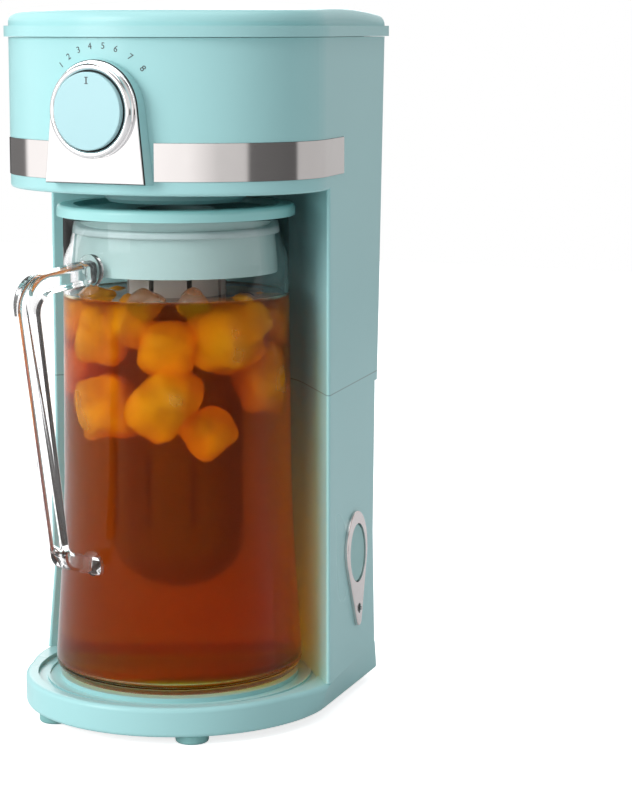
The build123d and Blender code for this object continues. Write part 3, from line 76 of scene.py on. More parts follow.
# ---------------------------------------------------------------- shader helpers
class Shader:
    """A node material: a principled shader with small helpers for what feeds it."""

    def __init__(self, name):
        self.material = bpy.data.materials.new(name)
        self.material.use_nodes = True
        self.tree = self.material.node_tree
        self.bsdf = self.tree.nodes["Principled BSDF"]
        self.output = self.tree.nodes["Material Output"]
        self.place = self.tree.nodes.new("ShaderNodeTexCoord").outputs["Object"]

    def set(self, **values):
        for key, value in values.items():
            self.bsdf.inputs[key.replace("_", " ")].default_value = value
        return self

    def stretched(self, scale):
        node = self.tree.nodes.new("ShaderNodeMapping")
        node.inputs["Scale"].default_value = scale
        self.tree.links.new(self.place, node.inputs["Vector"])
        return node.outputs["Vector"]

    def noise(self, scale, detail=2.0, stretch=None):
        node = self.tree.nodes.new("ShaderNodeTexNoise")
        node.inputs["Scale"].default_value = scale
        node.inputs["Detail"].default_value = detail
        source = self.stretched(stretch) if stretch else self.place
        self.tree.links.new(source, node.inputs["Vector"])
        return node.outputs["Fac"]

    def ramp(self, value, stops, target):
        node = self.tree.nodes.new("ShaderNodeValToRGB")
        ramp = node.color_ramp
        while len(ramp.elements) < len(stops):
            ramp.elements.new(0.5)
        for element, (place, colour) in zip(ramp.elements, stops):
            element.position = place
            element.color = colour if len(colour) == 4 else (*colour, 1.0)
        self.tree.links.new(value, node.inputs["Fac"])
        self.tree.links.new(node.outputs["Color"], self.bsdf.inputs[target])
        return node

    def level(self, value, low, high, target):
        node = self.tree.nodes.new("ShaderNodeMapRange")
        node.inputs["To Min"].default_value = low
        node.inputs["To Max"].default_value = high
        self.tree.links.new(value, node.inputs["Value"])
        self.tree.links.new(node.outputs["Result"], self.bsdf.inputs[target])
        return node

    def bump(self, value, strength, distance):
        node = self.tree.nodes.new("ShaderNodeBump")
        node.inputs["Strength"].default_value = strength
        node.inputs["Distance"].default_value = distance
        self.tree.links.new(value, node.inputs["Height"])
        self.tree.links.new(node.outputs["Normal"], self.bsdf.inputs["Normal"])
        return node

    def by_level(self, low, high, below, above):
        """A colour that changes from below to above between two levels, in metres."""
        z = self.tree.nodes.new("ShaderNodeSeparateXYZ")
        self.tree.links.new(self.place, z.inputs[0])
        share = self.tree.nodes.new("ShaderNodeMapRange")
        share.inputs["From Min"].default_value = low
        share.inputs["From Max"].default_value = high
        self.tree.links.new(z.outputs["Z"], share.inputs["Value"])
        mix = self.tree.nodes.new("ShaderNodeMix")
        mix.data_type = "RGBA"
        self.tree.links.new(share.outputs["Result"], mix.inputs["Factor"])
        for socket, colour in (("A", below), ("B", above)):
            if isinstance(colour, tuple):
                mix.inputs[socket].default_value = (*colour, 1.0)
            else:
                self.tree.links.new(colour, mix.inputs[socket])
        return mix.outputs["Result"]

    def seam(self, level, half, dark):
        """A fine dark line round the piece at one level, over the base colour."""
        under = self.bsdf.inputs["Base Color"].links[0].from_socket
        near = self.by_level(level - half, level, under, dark)
        both = self.by_level(level, level + half, near, under)
        self.tree.links.new(both, self.bsdf.inputs["Base Color"])
        return self

    def clear_to_light(self, tint):
        """Lets lamp light through the piece, tinted, so that what is inside or behind stays lit."""
        nodes, links = self.tree.nodes, self.tree.links
        path = nodes.new("ShaderNodeLightPath")
        clear = nodes.new("ShaderNodeBsdfTransparent")
        clear.inputs["Color"].default_value = (*tint, 1.0)
        mix = nodes.new("ShaderNodeMixShader")
        links.new(path.outputs["Is Shadow Ray"], mix.inputs[0])
        links.new(self.bsdf.outputs[0], mix.inputs[1])
        links.new(clear.outputs[0], mix.inputs[2])
        links.new(mix.outputs[0], self.output.inputs["Surface"])
        return self


def shade(colour, factor):
    return tuple(min(1.0, c * factor) for c in colour)


SEAM_HALF = 0.0005             # metres
SEAM_DARKNESS = 0.45


def plastic(name, colour, rough=0.28, grain=90.0, depth=0.3, coat=0.06, specular=0.22,
            seam_level=None):
    """Moulded plastic: faint clouding of the colour, uneven gloss and a fine moulded skin."""
    s = Shader(name)
    s.set(Coat_Weight=coat, Coat_Roughness=0.12, IOR=1.5, Specular_IOR_Level=specular)
    s.ramp(s.noise(9.0, 0.0), ((0.0, shade(colour, 0.975)), (1.0, shade(colour, 1.025))), "Base Color")
    s.level(s.noise(12.0, 0.0), rough - 0.02, rough + 0.03, "Roughness")
    if depth:
        s.bump(s.noise(grain, 1.0), depth, 0.00003)
    if seam_level:
        s.seam(seam_level, SEAM_HALF, shade(colour, SEAM_DARKNESS))
    return s.material


def metal(name, colour, rough, brushing=None, depth=0.2):
    """Metal: uneven polish and, where given, fine brushing along one direction."""
    s = Shader(name)
    s.set(Metallic=1.0)
    s.ramp(s.noise(25.0, 3.0), ((0.3, shade(colour, 0.96)), (0.7, shade(colour, 1.03))), "Base Color")
    lines = s.noise(1.0, 3.0, brushing) if brushing else s.noise(400.0, 3.0)
    s.level(lines, rough * 0.75, rough * 1.3, "Roughness")
    s.bump(lines, depth, 0.00001)
    return s.material


def rubber(name, colour):
    s = Shader(name)
    s.ramp(s.noise(40.0, 4.0), ((0.3, shade(colour, 0.9)), (0.7, shade(colour, 1.05))), "Base Color")
    s.level(s.noise(300.0, 2.0), 0.55, 0.75, "Roughness")
    s.bump(s.noise(1500.0, 2.0), 0.4, 0.00005)
    return s.material


def clear(name, rough, ior, tint=(1.0, 1.0, 1.0), waves=0.06, specular=1.0):
    """Clear plastic: faint waviness and a trace of surface haze."""
    s = Shader(name)
    s.set(Base_Color=(*tint, 1.0), Transmission_Weight=1.0, IOR=ior,
          Specular_Tint=(specular, specular, specular, 1.0))
    s.level(s.noise(30.0, 2.0), rough, rough + 0.02, "Roughness")
    s.bump(s.noise(35.0, 1.0), waves, 0.0004)
    return s.clear_to_light((0.96, 0.98, 0.98)).material


def wetted(name, wet, dry, level):
    """Translucent plastic with painted shade below the tea's surface, for the dark the tea lends it, and its
    own pale colour above it.
    """
    s = Shader(name)
    s.set(IOR=1.5, Specular_IOR_Level=0.2)
    s.level(s.noise(35.0, 2.0), 0.28, 0.36, "Roughness")
    s.bump(s.noise(1500.0, 2.0), 0.06, 0.00001)
    # the wet colour is painted shade: the dark of the plastic seen through the tea
    s.tree.links.new(s.by_level(level - 0.0005, level + 0.0005, wet, dry), s.bsdf.inputs["Base Color"])
    return s.material


AQUA = (0.375, 0.665, 0.67)
body_plastic = plastic("body_plastic", AQUA, depth=0.0, seam_level=SEAM_LEVEL * MM)
cap_plastic = plastic("cap_plastic", (0.42, 0.66, 0.69), rough=0.34)
cover_plastic = plastic("cover_plastic", (0.38, 0.70, 0.69))
button_plastic = plastic("button_plastic", (0.30, 0.56, 0.55), rough=0.35)
collar_plastic = plastic("collar_plastic", (0.33, 0.46, 0.45), rough=0.5, coat=0.0, specular=0.15)
inner_plastic = plastic("inner_plastic", (0.70, 0.76, 0.75), rough=0.45, grain=600.0, depth=0.1, coat=0.0)
basket_plastic = plastic("basket_plastic", (0.03, 0.032, 0.035), rough=0.4, grain=600.0, depth=0.1, coat=0.0)
filter_plastic = plastic("filter_plastic", (0.10, 0.07, 0.05), rough=0.3, depth=0.1)
# painted shade: near black below the tea's level, the pale plastic's own colour above it
infuser_plastic = wetted("infuser_plastic", (0.035, 0.014, 0.007), (0.50, 0.47, 0.42),
                         (TEA_LEVEL - 0.5) * MM)
tank_plastic = plastic("tank_plastic", (0.70, 0.74, 0.74), rough=0.5, coat=0.0)
shaft_plastic = plastic("shaft_plastic", (0.72, 0.72, 0.70), rough=0.4, coat=0.0)
switch_plastic = plastic("switch_plastic", (0.02, 0.02, 0.022), rough=0.4, coat=0.0)
foot_rubber = rubber("foot_rubber", (0.22, 0.46, 0.45))
seal_rubber = rubber("seal_rubber", (0.34, 0.44, 0.44))
hose_rubber = rubber("hose_rubber", (0.62, 0.60, 0.54))
gland_rubber = rubber("gland_rubber", (0.05, 0.06, 0.06))
band_steel = metal("band_steel", (0.735, 0.71, 0.70), 0.10, brushing=(6.0, 6.0, 2600.0))
bezel_steel = metal("bezel_steel", (0.78, 0.70, 0.69), 0.20, brushing=(60.0, 60.0, 1800.0))
trim_chrome = metal("trim_chrome", (0.86, 0.85, 0.85), 0.05)
screw_steel = metal("screw_steel", (0.55, 0.55, 0.54), 0.25)
heater_aluminium = metal("heater_aluminium", (0.62, 0.62, 0.63), 0.35)
lamp_plastic = clear("lamp_plastic", 0.08, 1.49, tint=(0.80, 0.80, 0.80))
clear_jar = clear("clear_jar", 0.0, 1.45, specular=0.15)
clear_handle = clear("clear_handle", 0.0, 1.49, waves=0.03)

NODE_MATERIALS = {
    body_plastic: ("lower_housing", "upper_housing", "top_lid", "dial_arch", "drip_boss"),
    cap_plastic: ("dial_cap",),
    cover_plastic: ("pitcher_lid",),
    button_plastic: ("power_button",),
    collar_plastic: ("lid_collar",),
    inner_plastic: ("base_plate", "lid_liner", "inner_deck"),
    basket_plastic: ("brew_basket",),
    filter_plastic: ("basket_filter",),
    infuser_plastic: ("infuser_tube", "infuser_cap"),
    tank_plastic: ("reservoir",),
    shaft_plastic: ("dial_shaft", "flow_vane", "switch_plunger", "water_spout", "check_valve"),
    switch_plastic: ("switch_body", "thermostat"),
    foot_rubber: ("feet",),
    seal_rubber: ("lid_seal",),
    hose_rubber: ("inlet_hose", "riser_hose"),
    gland_rubber: ("cord_gland",),
    band_steel: ("band_left", "band_right"),
    bezel_steel: ("switch_bezel",),
    trim_chrome: ("dial_plate", "dial_ring"),
    screw_steel: ("base_screws", "hinge_pins", "heater_strap", "switch_bracket"),
    heater_aluminium: ("heater",),
    lamp_plastic: ("indicator_lens",),
    clear_handle: ("pitcher_handle",),
}
for material, names in NODE_MATERIALS.items():
    for name in names:
        mesh = NODES[name].data
        for index in range(len(mesh.materials)):
            mesh.materials[index] = material
        if not mesh.materials:
            mesh.materials.append(material)


# ---------------------------------------------------------------- mesh helpers
def piece(name, mesh, material, body, smooth=True):
    for polygon in mesh.polygons:
        polygon.use_smooth = smooth
    if not mesh.materials:
        mesh.materials.append(material)
    obj = bpy.data.objects.new(name, mesh)
    bpy.context.collection.objects.link(obj)
    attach(obj, body)
    return obj


def from_bmesh(name, work):
    mesh = bpy.data.meshes.new(name)
    work.to_mesh(mesh)
    work.free()
    return mesh


def turn_outward(mesh):
    """Turns every face of a closed mesh outward."""
    work = bmesh.new()
    work.from_mesh(mesh)
    bmesh.ops.recalc_face_normals(work, faces=work.faces)
    work.to_mesh(mesh)
    work.free()
    return mesh


def lathe(name, profile, segments=192):
    """A closed turned mesh about the Z axis. The profile starts and ends on the axis, in mm."""
    vertices, faces, rings = [], [], []
    for radius, level in profile:
        if radius < 1e-6:
            rings.append([len(vertices)])
            vertices.append((0.0, 0.0, level * MM))
            continue
        first = len(vertices)
        for i in range(segments):
            turn = 2 * pi * i / segments
            vertices.append((radius * cos(turn) * MM, radius * sin(turn) * MM, level * MM))
        rings.append(list(range(first, first + segments)))
    for low, high in zip(rings, rings[1:]):
        for i in range(segments):
            j = (i + 1) % segments
            if len(low) == 1:
                faces.append((low[0], high[j], high[i]))
            elif len(high) == 1:
                faces.append((low[i], low[j], high[0]))
            else:
                faces.append((low[i], low[j], high[j], high[i]))
    mesh = bpy.data.meshes.new(name)
    mesh.from_pydata(vertices, [], faces)
    mesh.validate()
    return turn_outward(mesh)


def arc(centre, radius, start, end, steps):
    """Points of an arc in the profile plane, angles in degrees."""
    turns = [radians(start + (end - start) * i / steps) for i in range(steps + 1)]
    return [(centre[0] + radius * cos(t), centre[1] + radius * sin(t)) for t in turns]


def flare(inset, steps=24):
    """The jar's side from its foot up to where it runs straight."""
    points = [JAR_FOOT, *JAR_FLARE]
    line = []
    for i in range(steps + 1):
        t = i / steps
        weights = ((1 - t) ** 3, 3 * t * (1 - t) ** 2, 3 * t ** 2 * (1 - t), t ** 3)
        line.append((sum(w * p[0] for w, p in zip(weights, points)) - inset,
                     sum(w * p[1] for w, p in zip(weights, points))))
    return line


def jar_radius(level, inset):
    share = (level - JAR_FLARE[-1][1]) / (JAR_TOP - JAR_FLARE[-1][1])
    return JAR_FLARE[-1][0] + (JAR_RIM_RADIUS - JAR_FLARE[-1][0]) * share - inset


# ---------------------------------------------------------------- the jar and its tea
def foot_round(level, radius):
    """The rounded corner between the jar's floor and its side, from the level of the floor."""
    return arc((JAR_FOOT[0] - JAR_CORNER, level + radius), radius, -90, 0, 12)


SHOULDER = JAR_TOP - 1.0       # where the rim's rounding starts
inner_floor = JAR_BOTTOM + JAR_FLOOR
inner_corner = JAR_CORNER - JAR_WALL
outer = [(0, JAR_BOTTOM + JAR_PUNT), (JAR_PUNT_RADIUS - JAR_PUNT, JAR_BOTTOM + JAR_PUNT),
         (JAR_PUNT_RADIUS, JAR_BOTTOM)]
outer += foot_round(JAR_BOTTOM, JAR_CORNER) + flare(0)
outer += [(jar_radius(z, 0), z) for z in (*STATIONS, SHOULDER)]
outer += arc((JAR_RIM_RADIUS - JAR_WALL / 2, SHOULDER), JAR_RIM_ROUND, 10, 170, 8)
inside = [(0, inner_floor), (40, inner_floor)] + foot_round(inner_floor, inner_corner)
inside += [p for p in flare(JAR_WALL) if p[1] > inner_floor + inner_corner + 1]
inside += [(jar_radius(z, JAR_WALL), z) for z in (*sorted([*STATIONS, TEA_LEVEL - 0.5]), SHOULDER)]
wet_wall = clear("wet_wall", 0.0, 1.0, waves=0.0)
jar_mesh = lathe("jar_clear", outer + inside[::-1])
jar_mesh.materials.append(clear_jar)
jar_mesh.materials.append(wet_wall)


def is_wet(polygon):
    """Whether a face of the jar is part of its inside, below the tea's surface."""
    reach = Vector(polygon.center[:2]).length / MM
    level = polygon.center.z / MM
    flared = level < JAR_FLARE[1][1]
    middle = JAR_FOOT[0] - JAR_WALL / 2 if flared else jar_radius(level, JAR_WALL / 2)
    facing_in = Vector(polygon.normal[:2]).dot(Vector(polygon.center[:2])) < 0 or polygon.normal.z > 0.3
    return facing_in and JAR_BOTTOM + 3 < level < TEA_LEVEL - 1 and reach < middle


for polygon in jar_mesh.polygons:
    if is_wet(polygon):
        polygon.material_index = 1
jar = piece("jar_clear", jar_mesh, clear_jar, "pitcher")
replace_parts(jar, "pitcher_jar")

tea_side = [(r + OVERLAP if r > 1 else r, z if r > 41 else z - OVERLAP)
            for r, z in inside if z < TEA_LEVEL]
rim = jar_radius(TEA_LEVEL, JAR_WALL) + OVERLAP
tea_side += [(rim, TEA_LEVEL + 0.9), (rim - 0.8, TEA_LEVEL + 0.5), (rim - 2.4, TEA_LEVEL + 0.1),
             (rim - 5, TEA_LEVEL), (rim - 20, TEA_LEVEL), (0, TEA_LEVEL)]
TEA_TINT = (1.0, 0.93, 0.80)
TEA_ABSORBS = (0.9935, 0.955, 0.0)     # what little colour is left to the light that passes
TEA_ABSORPTION = 400.0
TEA_SCATTERS = (1.0, 0.22, 0.0)
TEA_CLOUD = 5.5


def tea_shader(name, ior, rough, wave_scale, waves, wave_height):
    """Brewed tea: a clear surface over a volume that absorbs blue and green and is faintly cloudy."""
    s = Shader(name)
    s.set(Base_Color=(*TEA_TINT, 1.0), Transmission_Weight=1.0, IOR=ior)
    s.level(s.noise(40.0, 2.0), *rough, "Roughness")
    s.bump(s.noise(wave_scale, 2.0), waves, wave_height)
    s.clear_to_light((1.0, 0.95, 0.85))
    tint = s.tree.nodes.new("ShaderNodeVolumeAbsorption")
    tint.inputs["Color"].default_value = (*TEA_ABSORBS, 1.0)
    tint.inputs["Density"].default_value = TEA_ABSORPTION
    cloud = s.tree.nodes.new("ShaderNodeVolumeScatter")
    cloud.inputs["Color"].default_value = (*TEA_SCATTERS, 1.0)
    cloud.inputs["Density"].default_value = TEA_CLOUD
    cloud.inputs["Anisotropy"].default_value = 0.3
    both = s.tree.nodes.new("ShaderNodeAddShader")
    s.tree.links.new(tint.outputs[0], both.inputs[0])
    s.tree.links.new(cloud.outputs[0], both.inputs[1])
    s.tree.links.new(both.outputs[0], s.output.inputs["Volume"])
    return s.material


# against the wall the tea's index is that of tea over plastic; at its top, of tea over air
tea_at_wall = tea_shader("tea", 0.92, (0.26, 0.32), 60.0, 0.05, 0.0004)
tea_at_top = tea_shader("tea_top", 1.333, (0.02, 0.05), 45.0, 0.12, 0.0008)
tea_mesh = lathe("tea", tea_side)
tea_mesh.materials.append(tea_at_wall)
tea_mesh.materials.append(tea_at_top)
for polygon in tea_mesh.polygons:
    if polygon.center.z / MM > TEA_LEVEL - 0.3 and polygon.normal.z > 0.3:
        polygon.material_index = 1
piece("tea", tea_mesh, tea_at_wall, "pitcher")


# ---------------------------------------------------------------- ice
def ice_material(name, low, high, clearness, ior, rough, waves):
    s = Shader(name)
    s.set(IOR=ior, Transmission_Weight=clearness)
    s.ramp(s.noise(55.0, 3.0), ((0.3, low), (0.7, high)), "Base Color")
    s.level(s.noise(60.0, 2.0), rough, rough + 0.2, "Roughness")
    s.bump(s.noise(90.0, 2.0), waves, 0.0008)
    s.clear_to_light((0.8, 0.8, 0.8))
    return s.material


ice_in_tea = ice_material("ice_in_tea", (0.62, 0.25, 0.015), (1.0, 0.50, 0.05), 0.55, 1.05, 0.4, 0.6)
ice_tip = ice_material("ice_tip", (0.95, 0.72, 0.48), (1.0, 0.90, 0.76), 0.92, 1.31, 0.04, 0.8)


def ice_lump(name, centre, size, seed, material, power=3.6):
    """A melting ice cube: a rounded block with uneven, dished faces."""
    draw = random.Random(seed)
    block = bmesh.new()
    bmesh.ops.create_cube(block, size=1.0)
    bmesh.ops.subdivide_edges(block, edges=block.edges, cuts=9, use_grid_fill=True)
    angle = draw.uniform(0, pi)
    axis = Vector((draw.random(), draw.random(), draw.random())).normalized()
    turn = Matrix.Rotation(angle, 3, axis)
    stretch = Vector((draw.uniform(0.85, 1.05), draw.uniform(0.85, 1.05), draw.uniform(0.9, 1.15)))
    for vertex in block.verts:
        co = vertex.co * 2.0
        length = (abs(co.x) ** power + abs(co.y) ** power + abs(co.z) ** power) ** (1 / power)
        co = co / length
        wave = noise.noise(co * 1.4 + Vector((seed, 0, 0)))
        fine = noise.noise(co * 3.5 + Vector((0, seed, 0)))
        co *= 1.0 + 0.16 * wave + 0.05 * fine
        co = Vector((co.x * stretch.x, co.y * stretch.y, co.z * stretch.z)) * (size / 2)
        vertex.co = (turn @ co + Vector(centre)) * MM
    return piece(name, from_bmesh(name, block), material, "pitcher")


# each lump: its centre and its size, in mm
ICE = [
    ((-20.0, -40.0, 222.0), 31), ((-18.0, -40.0, 180.0), 33), ((17.0, -40.0, 215.0), 30),
    ((15.0, -40.0, 184.0), 35), ((38.9, -18.2, 220.0), 36), ((44.0, 8.0, 194.0), 34),
    ((32.5, -25.0, 167.0), 26), ((-45.0, 6.0, 224.0), 28), ((-26.0, 37.0, 224.0), 28),
    ((14.0, 43.0, 224.0), 28), ((-44.0, 16.0, 192.0), 28), ((-10.0, 44.0, 190.0), 28),
    ((44.0, 20.0, 226.0), 26), ((-45.0, -16.0, 198.0), 24), ((-36.0, -28.0, 229.0), 26),
    ((-3.0, -44.0, 229.0), 25), ((46.0, -8.0, 228.0), 24),
]
for number, (centre, size) in enumerate(ICE, 1):
    ice_lump(f"ice_{number}", centre, size, number, ice_in_tea)
ICE_TIPS = [
    ((-38.0, -30.0, 238.5), 19), ((6.0, -45.0, 239.0), 21), ((30.0, -34.0, 238.5), 21),
    ((46.0, -4.0, 237.0), 19), ((-18.0, 44.0, 238.0), 20),
]
for number, (centre, size) in enumerate(ICE_TIPS, 1):
    ice_lump(f"ice_tip_{number}", centre, size, number + 40, ice_tip, power=1.4)

# ---------------------------------------------------------------- painted dark where the clear handle's ends meet the jar
painted_dark_shader = Shader("handle_end")
# painted shade: near-black that stands for the dark seen where the clear handle's end bends the light
painted_dark_shader.ramp(painted_dark_shader.noise(200.0, 2.0), ((0.3, (0.020, 0.024, 0.024)), (0.7, (0.045, 0.05, 0.05))),
                "Base Color")
painted_dark_shader.level(painted_dark_shader.noise(90.0, 2.0), 0.15, 0.3, "Roughness")
HANDLE_AZIMUTH = radians(-106.0)
END_LIFTS = (0.08, 0.5)        # the disc's two faces, off the jar's side


def handle_end(name, radius_at_level, level, size, count=48):
    """A thin dark disc on the jar's side: painted dark where the clear handle's end bends the light and shows
    dark.
    """
    disc = bmesh.new()
    layers = []
    for lift in END_LIFTS:
        ring = []
        for i in range(count):
            turn = 2 * pi * i / count
            azimuth = HANDLE_AZIMUTH + size * cos(turn) / radius_at_level
            reach = radius_at_level + lift
            ring.append(disc.verts.new(Vector((reach * cos(azimuth), reach * sin(azimuth),
                                               level + size * sin(turn))) * MM))
        layers.append(ring)
    disc.faces.new(layers[0])
    disc.faces.new(layers[1])
    for i in range(count):
        j = (i + 1) % count
        disc.faces.new((layers[0][i], layers[0][j], layers[1][j], layers[1][i]))
    mesh = turn_outward(from_bmesh(name, disc))
    return piece(name, mesh, painted_dark_shader.material, "pitcher", smooth=False)


# two painted dark discs, one at each end of the handle
handle_end("handle_end_upper", 64.3, 258.3, 5.6)
handle_end("handle_end_lower", 66.2, 92.2, 5.2)

# ---------------------------------------------------------------- numbers round the dial, and the dial's mark
ink = Shader("ink")
ink.ramp(ink.noise(900.0, 2.0), ((0.3, (0.035, 0.045, 0.05)), (0.7, (0.075, 0.085, 0.09))), "Base Color")
ink.level(ink.noise(300.0, 2.0), 0.35, 0.55, "Roughness")

LINE = HEAD_HALF * cos(HEAD_TAPER)
REACH = LINE - HEAD_CENTRE_Y * sin(HEAD_TAPER)
HEAD_WIDE = sqrt(REACH ** 2 - (HEAD_DEPTH * sin(HEAD_TAPER)) ** 2) / cos(HEAD_TAPER)


def front_y(x):
    """The head's front face above the base line x, in mm."""
    return HEAD_CENTRE_Y - HEAD_DEPTH * sqrt(1 - (x / HEAD_WIDE) ** 2)


def number_mesh(text, angle, height):
    curve = bpy.data.curves.new(f"number_{text}", "FONT")
    curve.body = text
    curve.size = height
    curve.align_x = "CENTER"
    curve.align_y = "CENTER"
    curve.extrude = 0.06
    curve.resolution_u = 6
    holder = bpy.data.objects.new("text_holder", curve)
    bpy.context.collection.objects.link(holder)
    bpy.context.view_layer.update()
    mesh = bpy.data.meshes.new_from_object(holder.evaluated_get(bpy.context.evaluated_depsgraph_get()))
    bpy.data.objects.remove(holder)
    turn = radians(angle)
    for vertex in mesh.vertices:
        u, v, w = vertex.co
        x = (NUMBER_RADIUS + v) * sin(turn) + u * cos(turn)
        z = DIAL_LEVEL + (NUMBER_RADIUS + v) * cos(turn) - u * sin(turn)
        vertex.co = Vector((x, front_y(x) - 0.04 - w, z)) * MM
    mesh.name = f"number_{text}"
    return mesh


for index, angle in enumerate(NUMBER_ANGLES, 1):
    mesh = number_mesh(str(index), angle, NUMBER_HEIGHT)
    piece(f"number_{index}", mesh, ink.material, "housing", smooth=False)


def plate_mesh(name, outline, front, back):
    """A thin upright plate between two Y levels, from a closed outline of (x, z) in mm."""
    count = len(outline)
    vertices = [(x * MM, y * MM, z * MM) for y in (front, back) for x, z in outline]
    faces = [tuple(range(count)), tuple(range(2 * count - 1, count - 1, -1))]
    faces += [(i, i + count, (i + 1) % count + count, (i + 1) % count) for i in range(count)]
    mesh = bpy.data.meshes.new(name)
    mesh.from_pydata(vertices, [], faces)
    return turn_outward(mesh)


MARK_LOW, MARK_HIGH, MARK_HALF, SERIF_HALF, SERIF = 14.3, 18.1, 0.42, 1.05, 0.45
mark = [(-SERIF_HALF, MARK_LOW), (SERIF_HALF, MARK_LOW), (SERIF_HALF, MARK_LOW + SERIF),
        (MARK_HALF, MARK_LOW + SERIF), (MARK_HALF, MARK_HIGH - SERIF), (SERIF_HALF, MARK_HIGH - SERIF),
        (SERIF_HALF, MARK_HIGH), (-SERIF_HALF, MARK_HIGH), (-SERIF_HALF, MARK_HIGH - SERIF),
        (-MARK_HALF, MARK_HIGH - SERIF), (-MARK_HALF, MARK_LOW + SERIF), (-SERIF_HALF, MARK_LOW + SERIF)]
mark = [(x, DIAL_LEVEL + z) for x, z in mark]
piece("dial_mark", plate_mesh("dial_mark", mark, CAP_FRONT_Y - 0.05, CAP_FRONT_Y + 0.1), ink.material,
      "strength_dial", smooth=False)


def arch_outline(inset):
    """The outline of the plate round the dial: an arc over two straight legs."""
    radius, foot, drop = ARCH_RADIUS - inset, ARCH_HALF_WIDTH - inset, ARCH_BOTTOM + inset - DIAL_LEVEL
    start = atan2(drop, foot) + acos(radius / sqrt(foot ** 2 + drop ** 2))
    line = [(radius * cos(t), DIAL_LEVEL + radius * sin(t))
            for t in (start + (pi - 2 * start) * i / 60 for i in range(61))]
    return line + [(-foot, DIAL_LEVEL + drop), (foot, DIAL_LEVEL + drop)]


# a dark plate a little larger than the chrome plate, just behind it: painted shadow, a thin dark line round
# the plate's edge
piece("plate_shadow_line", plate_mesh("plate_shadow_line", arch_outline(0.1), ARCH_FRONT_Y - 0.3, ARCH_FRONT_Y + 0.2),
      switch_plastic, "housing", smooth=False)


def turned_on_dial(name, profile, material, segments=144):
    """A closed ring about the dial's axis from a closed outline of (radius, y) in mm."""
    ring = bmesh.new()
    rows = []
    for i in range(segments):
        turn = 2 * pi * i / segments
        rows.append([ring.verts.new(Vector((r * sin(turn), y, DIAL_LEVEL + r * cos(turn))) * MM)
                     for r, y in profile])
    count = len(profile)
    for i in range(segments):
        here, after = rows[i], rows[(i + 1) % segments]
        for j in range(count):
            k = (j + 1) % count
            ring.faces.new((here[j], here[k], after[k], after[j]))
    return piece(name, turn_outward(from_bmesh(name, ring)), material, "strength_dial")


RING_INNER, RING_OUTER, RING_BACK, RING_EDGE, RING_FRONT = 21.3, 25.3, -87.0, -88.9, -91.0
DOME_STEPS = 14
dome = [(RING_INNER, RING_BACK), (RING_INNER, RING_EDGE)]
for i in range(DOME_STEPS + 1):
    turn = pi - pi * i / DOME_STEPS
    dome.append(((RING_INNER + RING_OUTER) / 2 + (RING_OUTER - RING_INNER) / 2 * cos(turn),
                 RING_EDGE + (RING_FRONT - RING_EDGE) * sin(turn)))
dome += [(RING_OUTER, RING_EDGE), (RING_OUTER, RING_BACK)]
dome = [p for i, p in enumerate(dome) if i == 0 or (Vector(p) - Vector(dome[i - 1])).length > 1e-4]
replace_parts(turned_on_dial("dial_ring_domed", dome, trim_chrome), "dial_ring")
# a dark ring in the gap between the dial's cap and its chrome ring: painted shade, a thin dark line round the
# cap
GAP_SHADE_INNER, GAP_SHADE_OUTER, GAP_SHADE_BACK, GAP_SHADE_FRONT = 20.72, 21.5, -87.4, -90.0
gap_shade_ring = [(GAP_SHADE_INNER, GAP_SHADE_BACK), (GAP_SHADE_INNER, GAP_SHADE_FRONT),
          (GAP_SHADE_OUTER, GAP_SHADE_FRONT), (GAP_SHADE_OUTER, GAP_SHADE_BACK)]
turned_on_dial("dial_gap_shade", gap_shade_ring, switch_plastic)

# ---------------------------------------------------------------- floor, light and background
FLOOR_HALF = 2.5
FLOOR_GLOW = 0.75              # added where the camera, or a clear piece, sees the floor
floor_mesh = bpy.data.meshes.new("floor")
corners = [(x * FLOOR_HALF, y * FLOOR_HALF, 0) for x, y in ((-1, -1), (1, -1), (1, 1), (-1, 1))]
floor_mesh.from_pydata(corners, [], [(0, 1, 2, 3)])
floor = bpy.data.objects.new("floor", floor_mesh)
bpy.context.collection.objects.link(floor)
floor_shader = Shader("floor")
floor_shader.set(Roughness=0.9, Base_Color=(0.70, 0.70, 0.70, 1.0))
glow = floor_shader.tree.nodes.new("ShaderNodeEmission")
path = floor_shader.tree.nodes.new("ShaderNodeLightPath")
total = floor_shader.tree.nodes.new("ShaderNodeMath")
total.operation = "MAXIMUM"
floor_shader.tree.links.new(path.outputs["Is Camera Ray"], total.inputs[0])
floor_shader.tree.links.new(path.outputs["Is Transmission Ray"], total.inputs[1])
gain = floor_shader.tree.nodes.new("ShaderNodeMath")
gain.operation = "MULTIPLY"
gain.inputs[1].default_value = FLOOR_GLOW
floor_shader.tree.links.new(total.outputs[0], gain.inputs[0])
floor_shader.tree.links.new(gain.outputs[0], glow.inputs["Strength"])
both = floor_shader.tree.nodes.new("ShaderNodeAddShader")
floor_shader.tree.links.new(floor_shader.bsdf.outputs[0], both.inputs[0])
floor_shader.tree.links.new(glow.outputs[0], both.inputs[1])
floor_shader.tree.links.new(both.outputs[0], floor_shader.output.inputs["Surface"])
floor_mesh.materials.append(floor_shader.material)


def fill_ramp(ramp, stops, tint):
    """Sets a colour ramp from (azimuth in degrees, brightness) pairs."""
    while len(ramp.elements) < len(stops):
        ramp.elements.new(0.5)
    for element, (angle, value) in zip(ramp.elements, stops):
        element.position = (angle + 180) / 360
        element.color = (value * tint[0], value * tint[1], value * tint[2], 1.0)


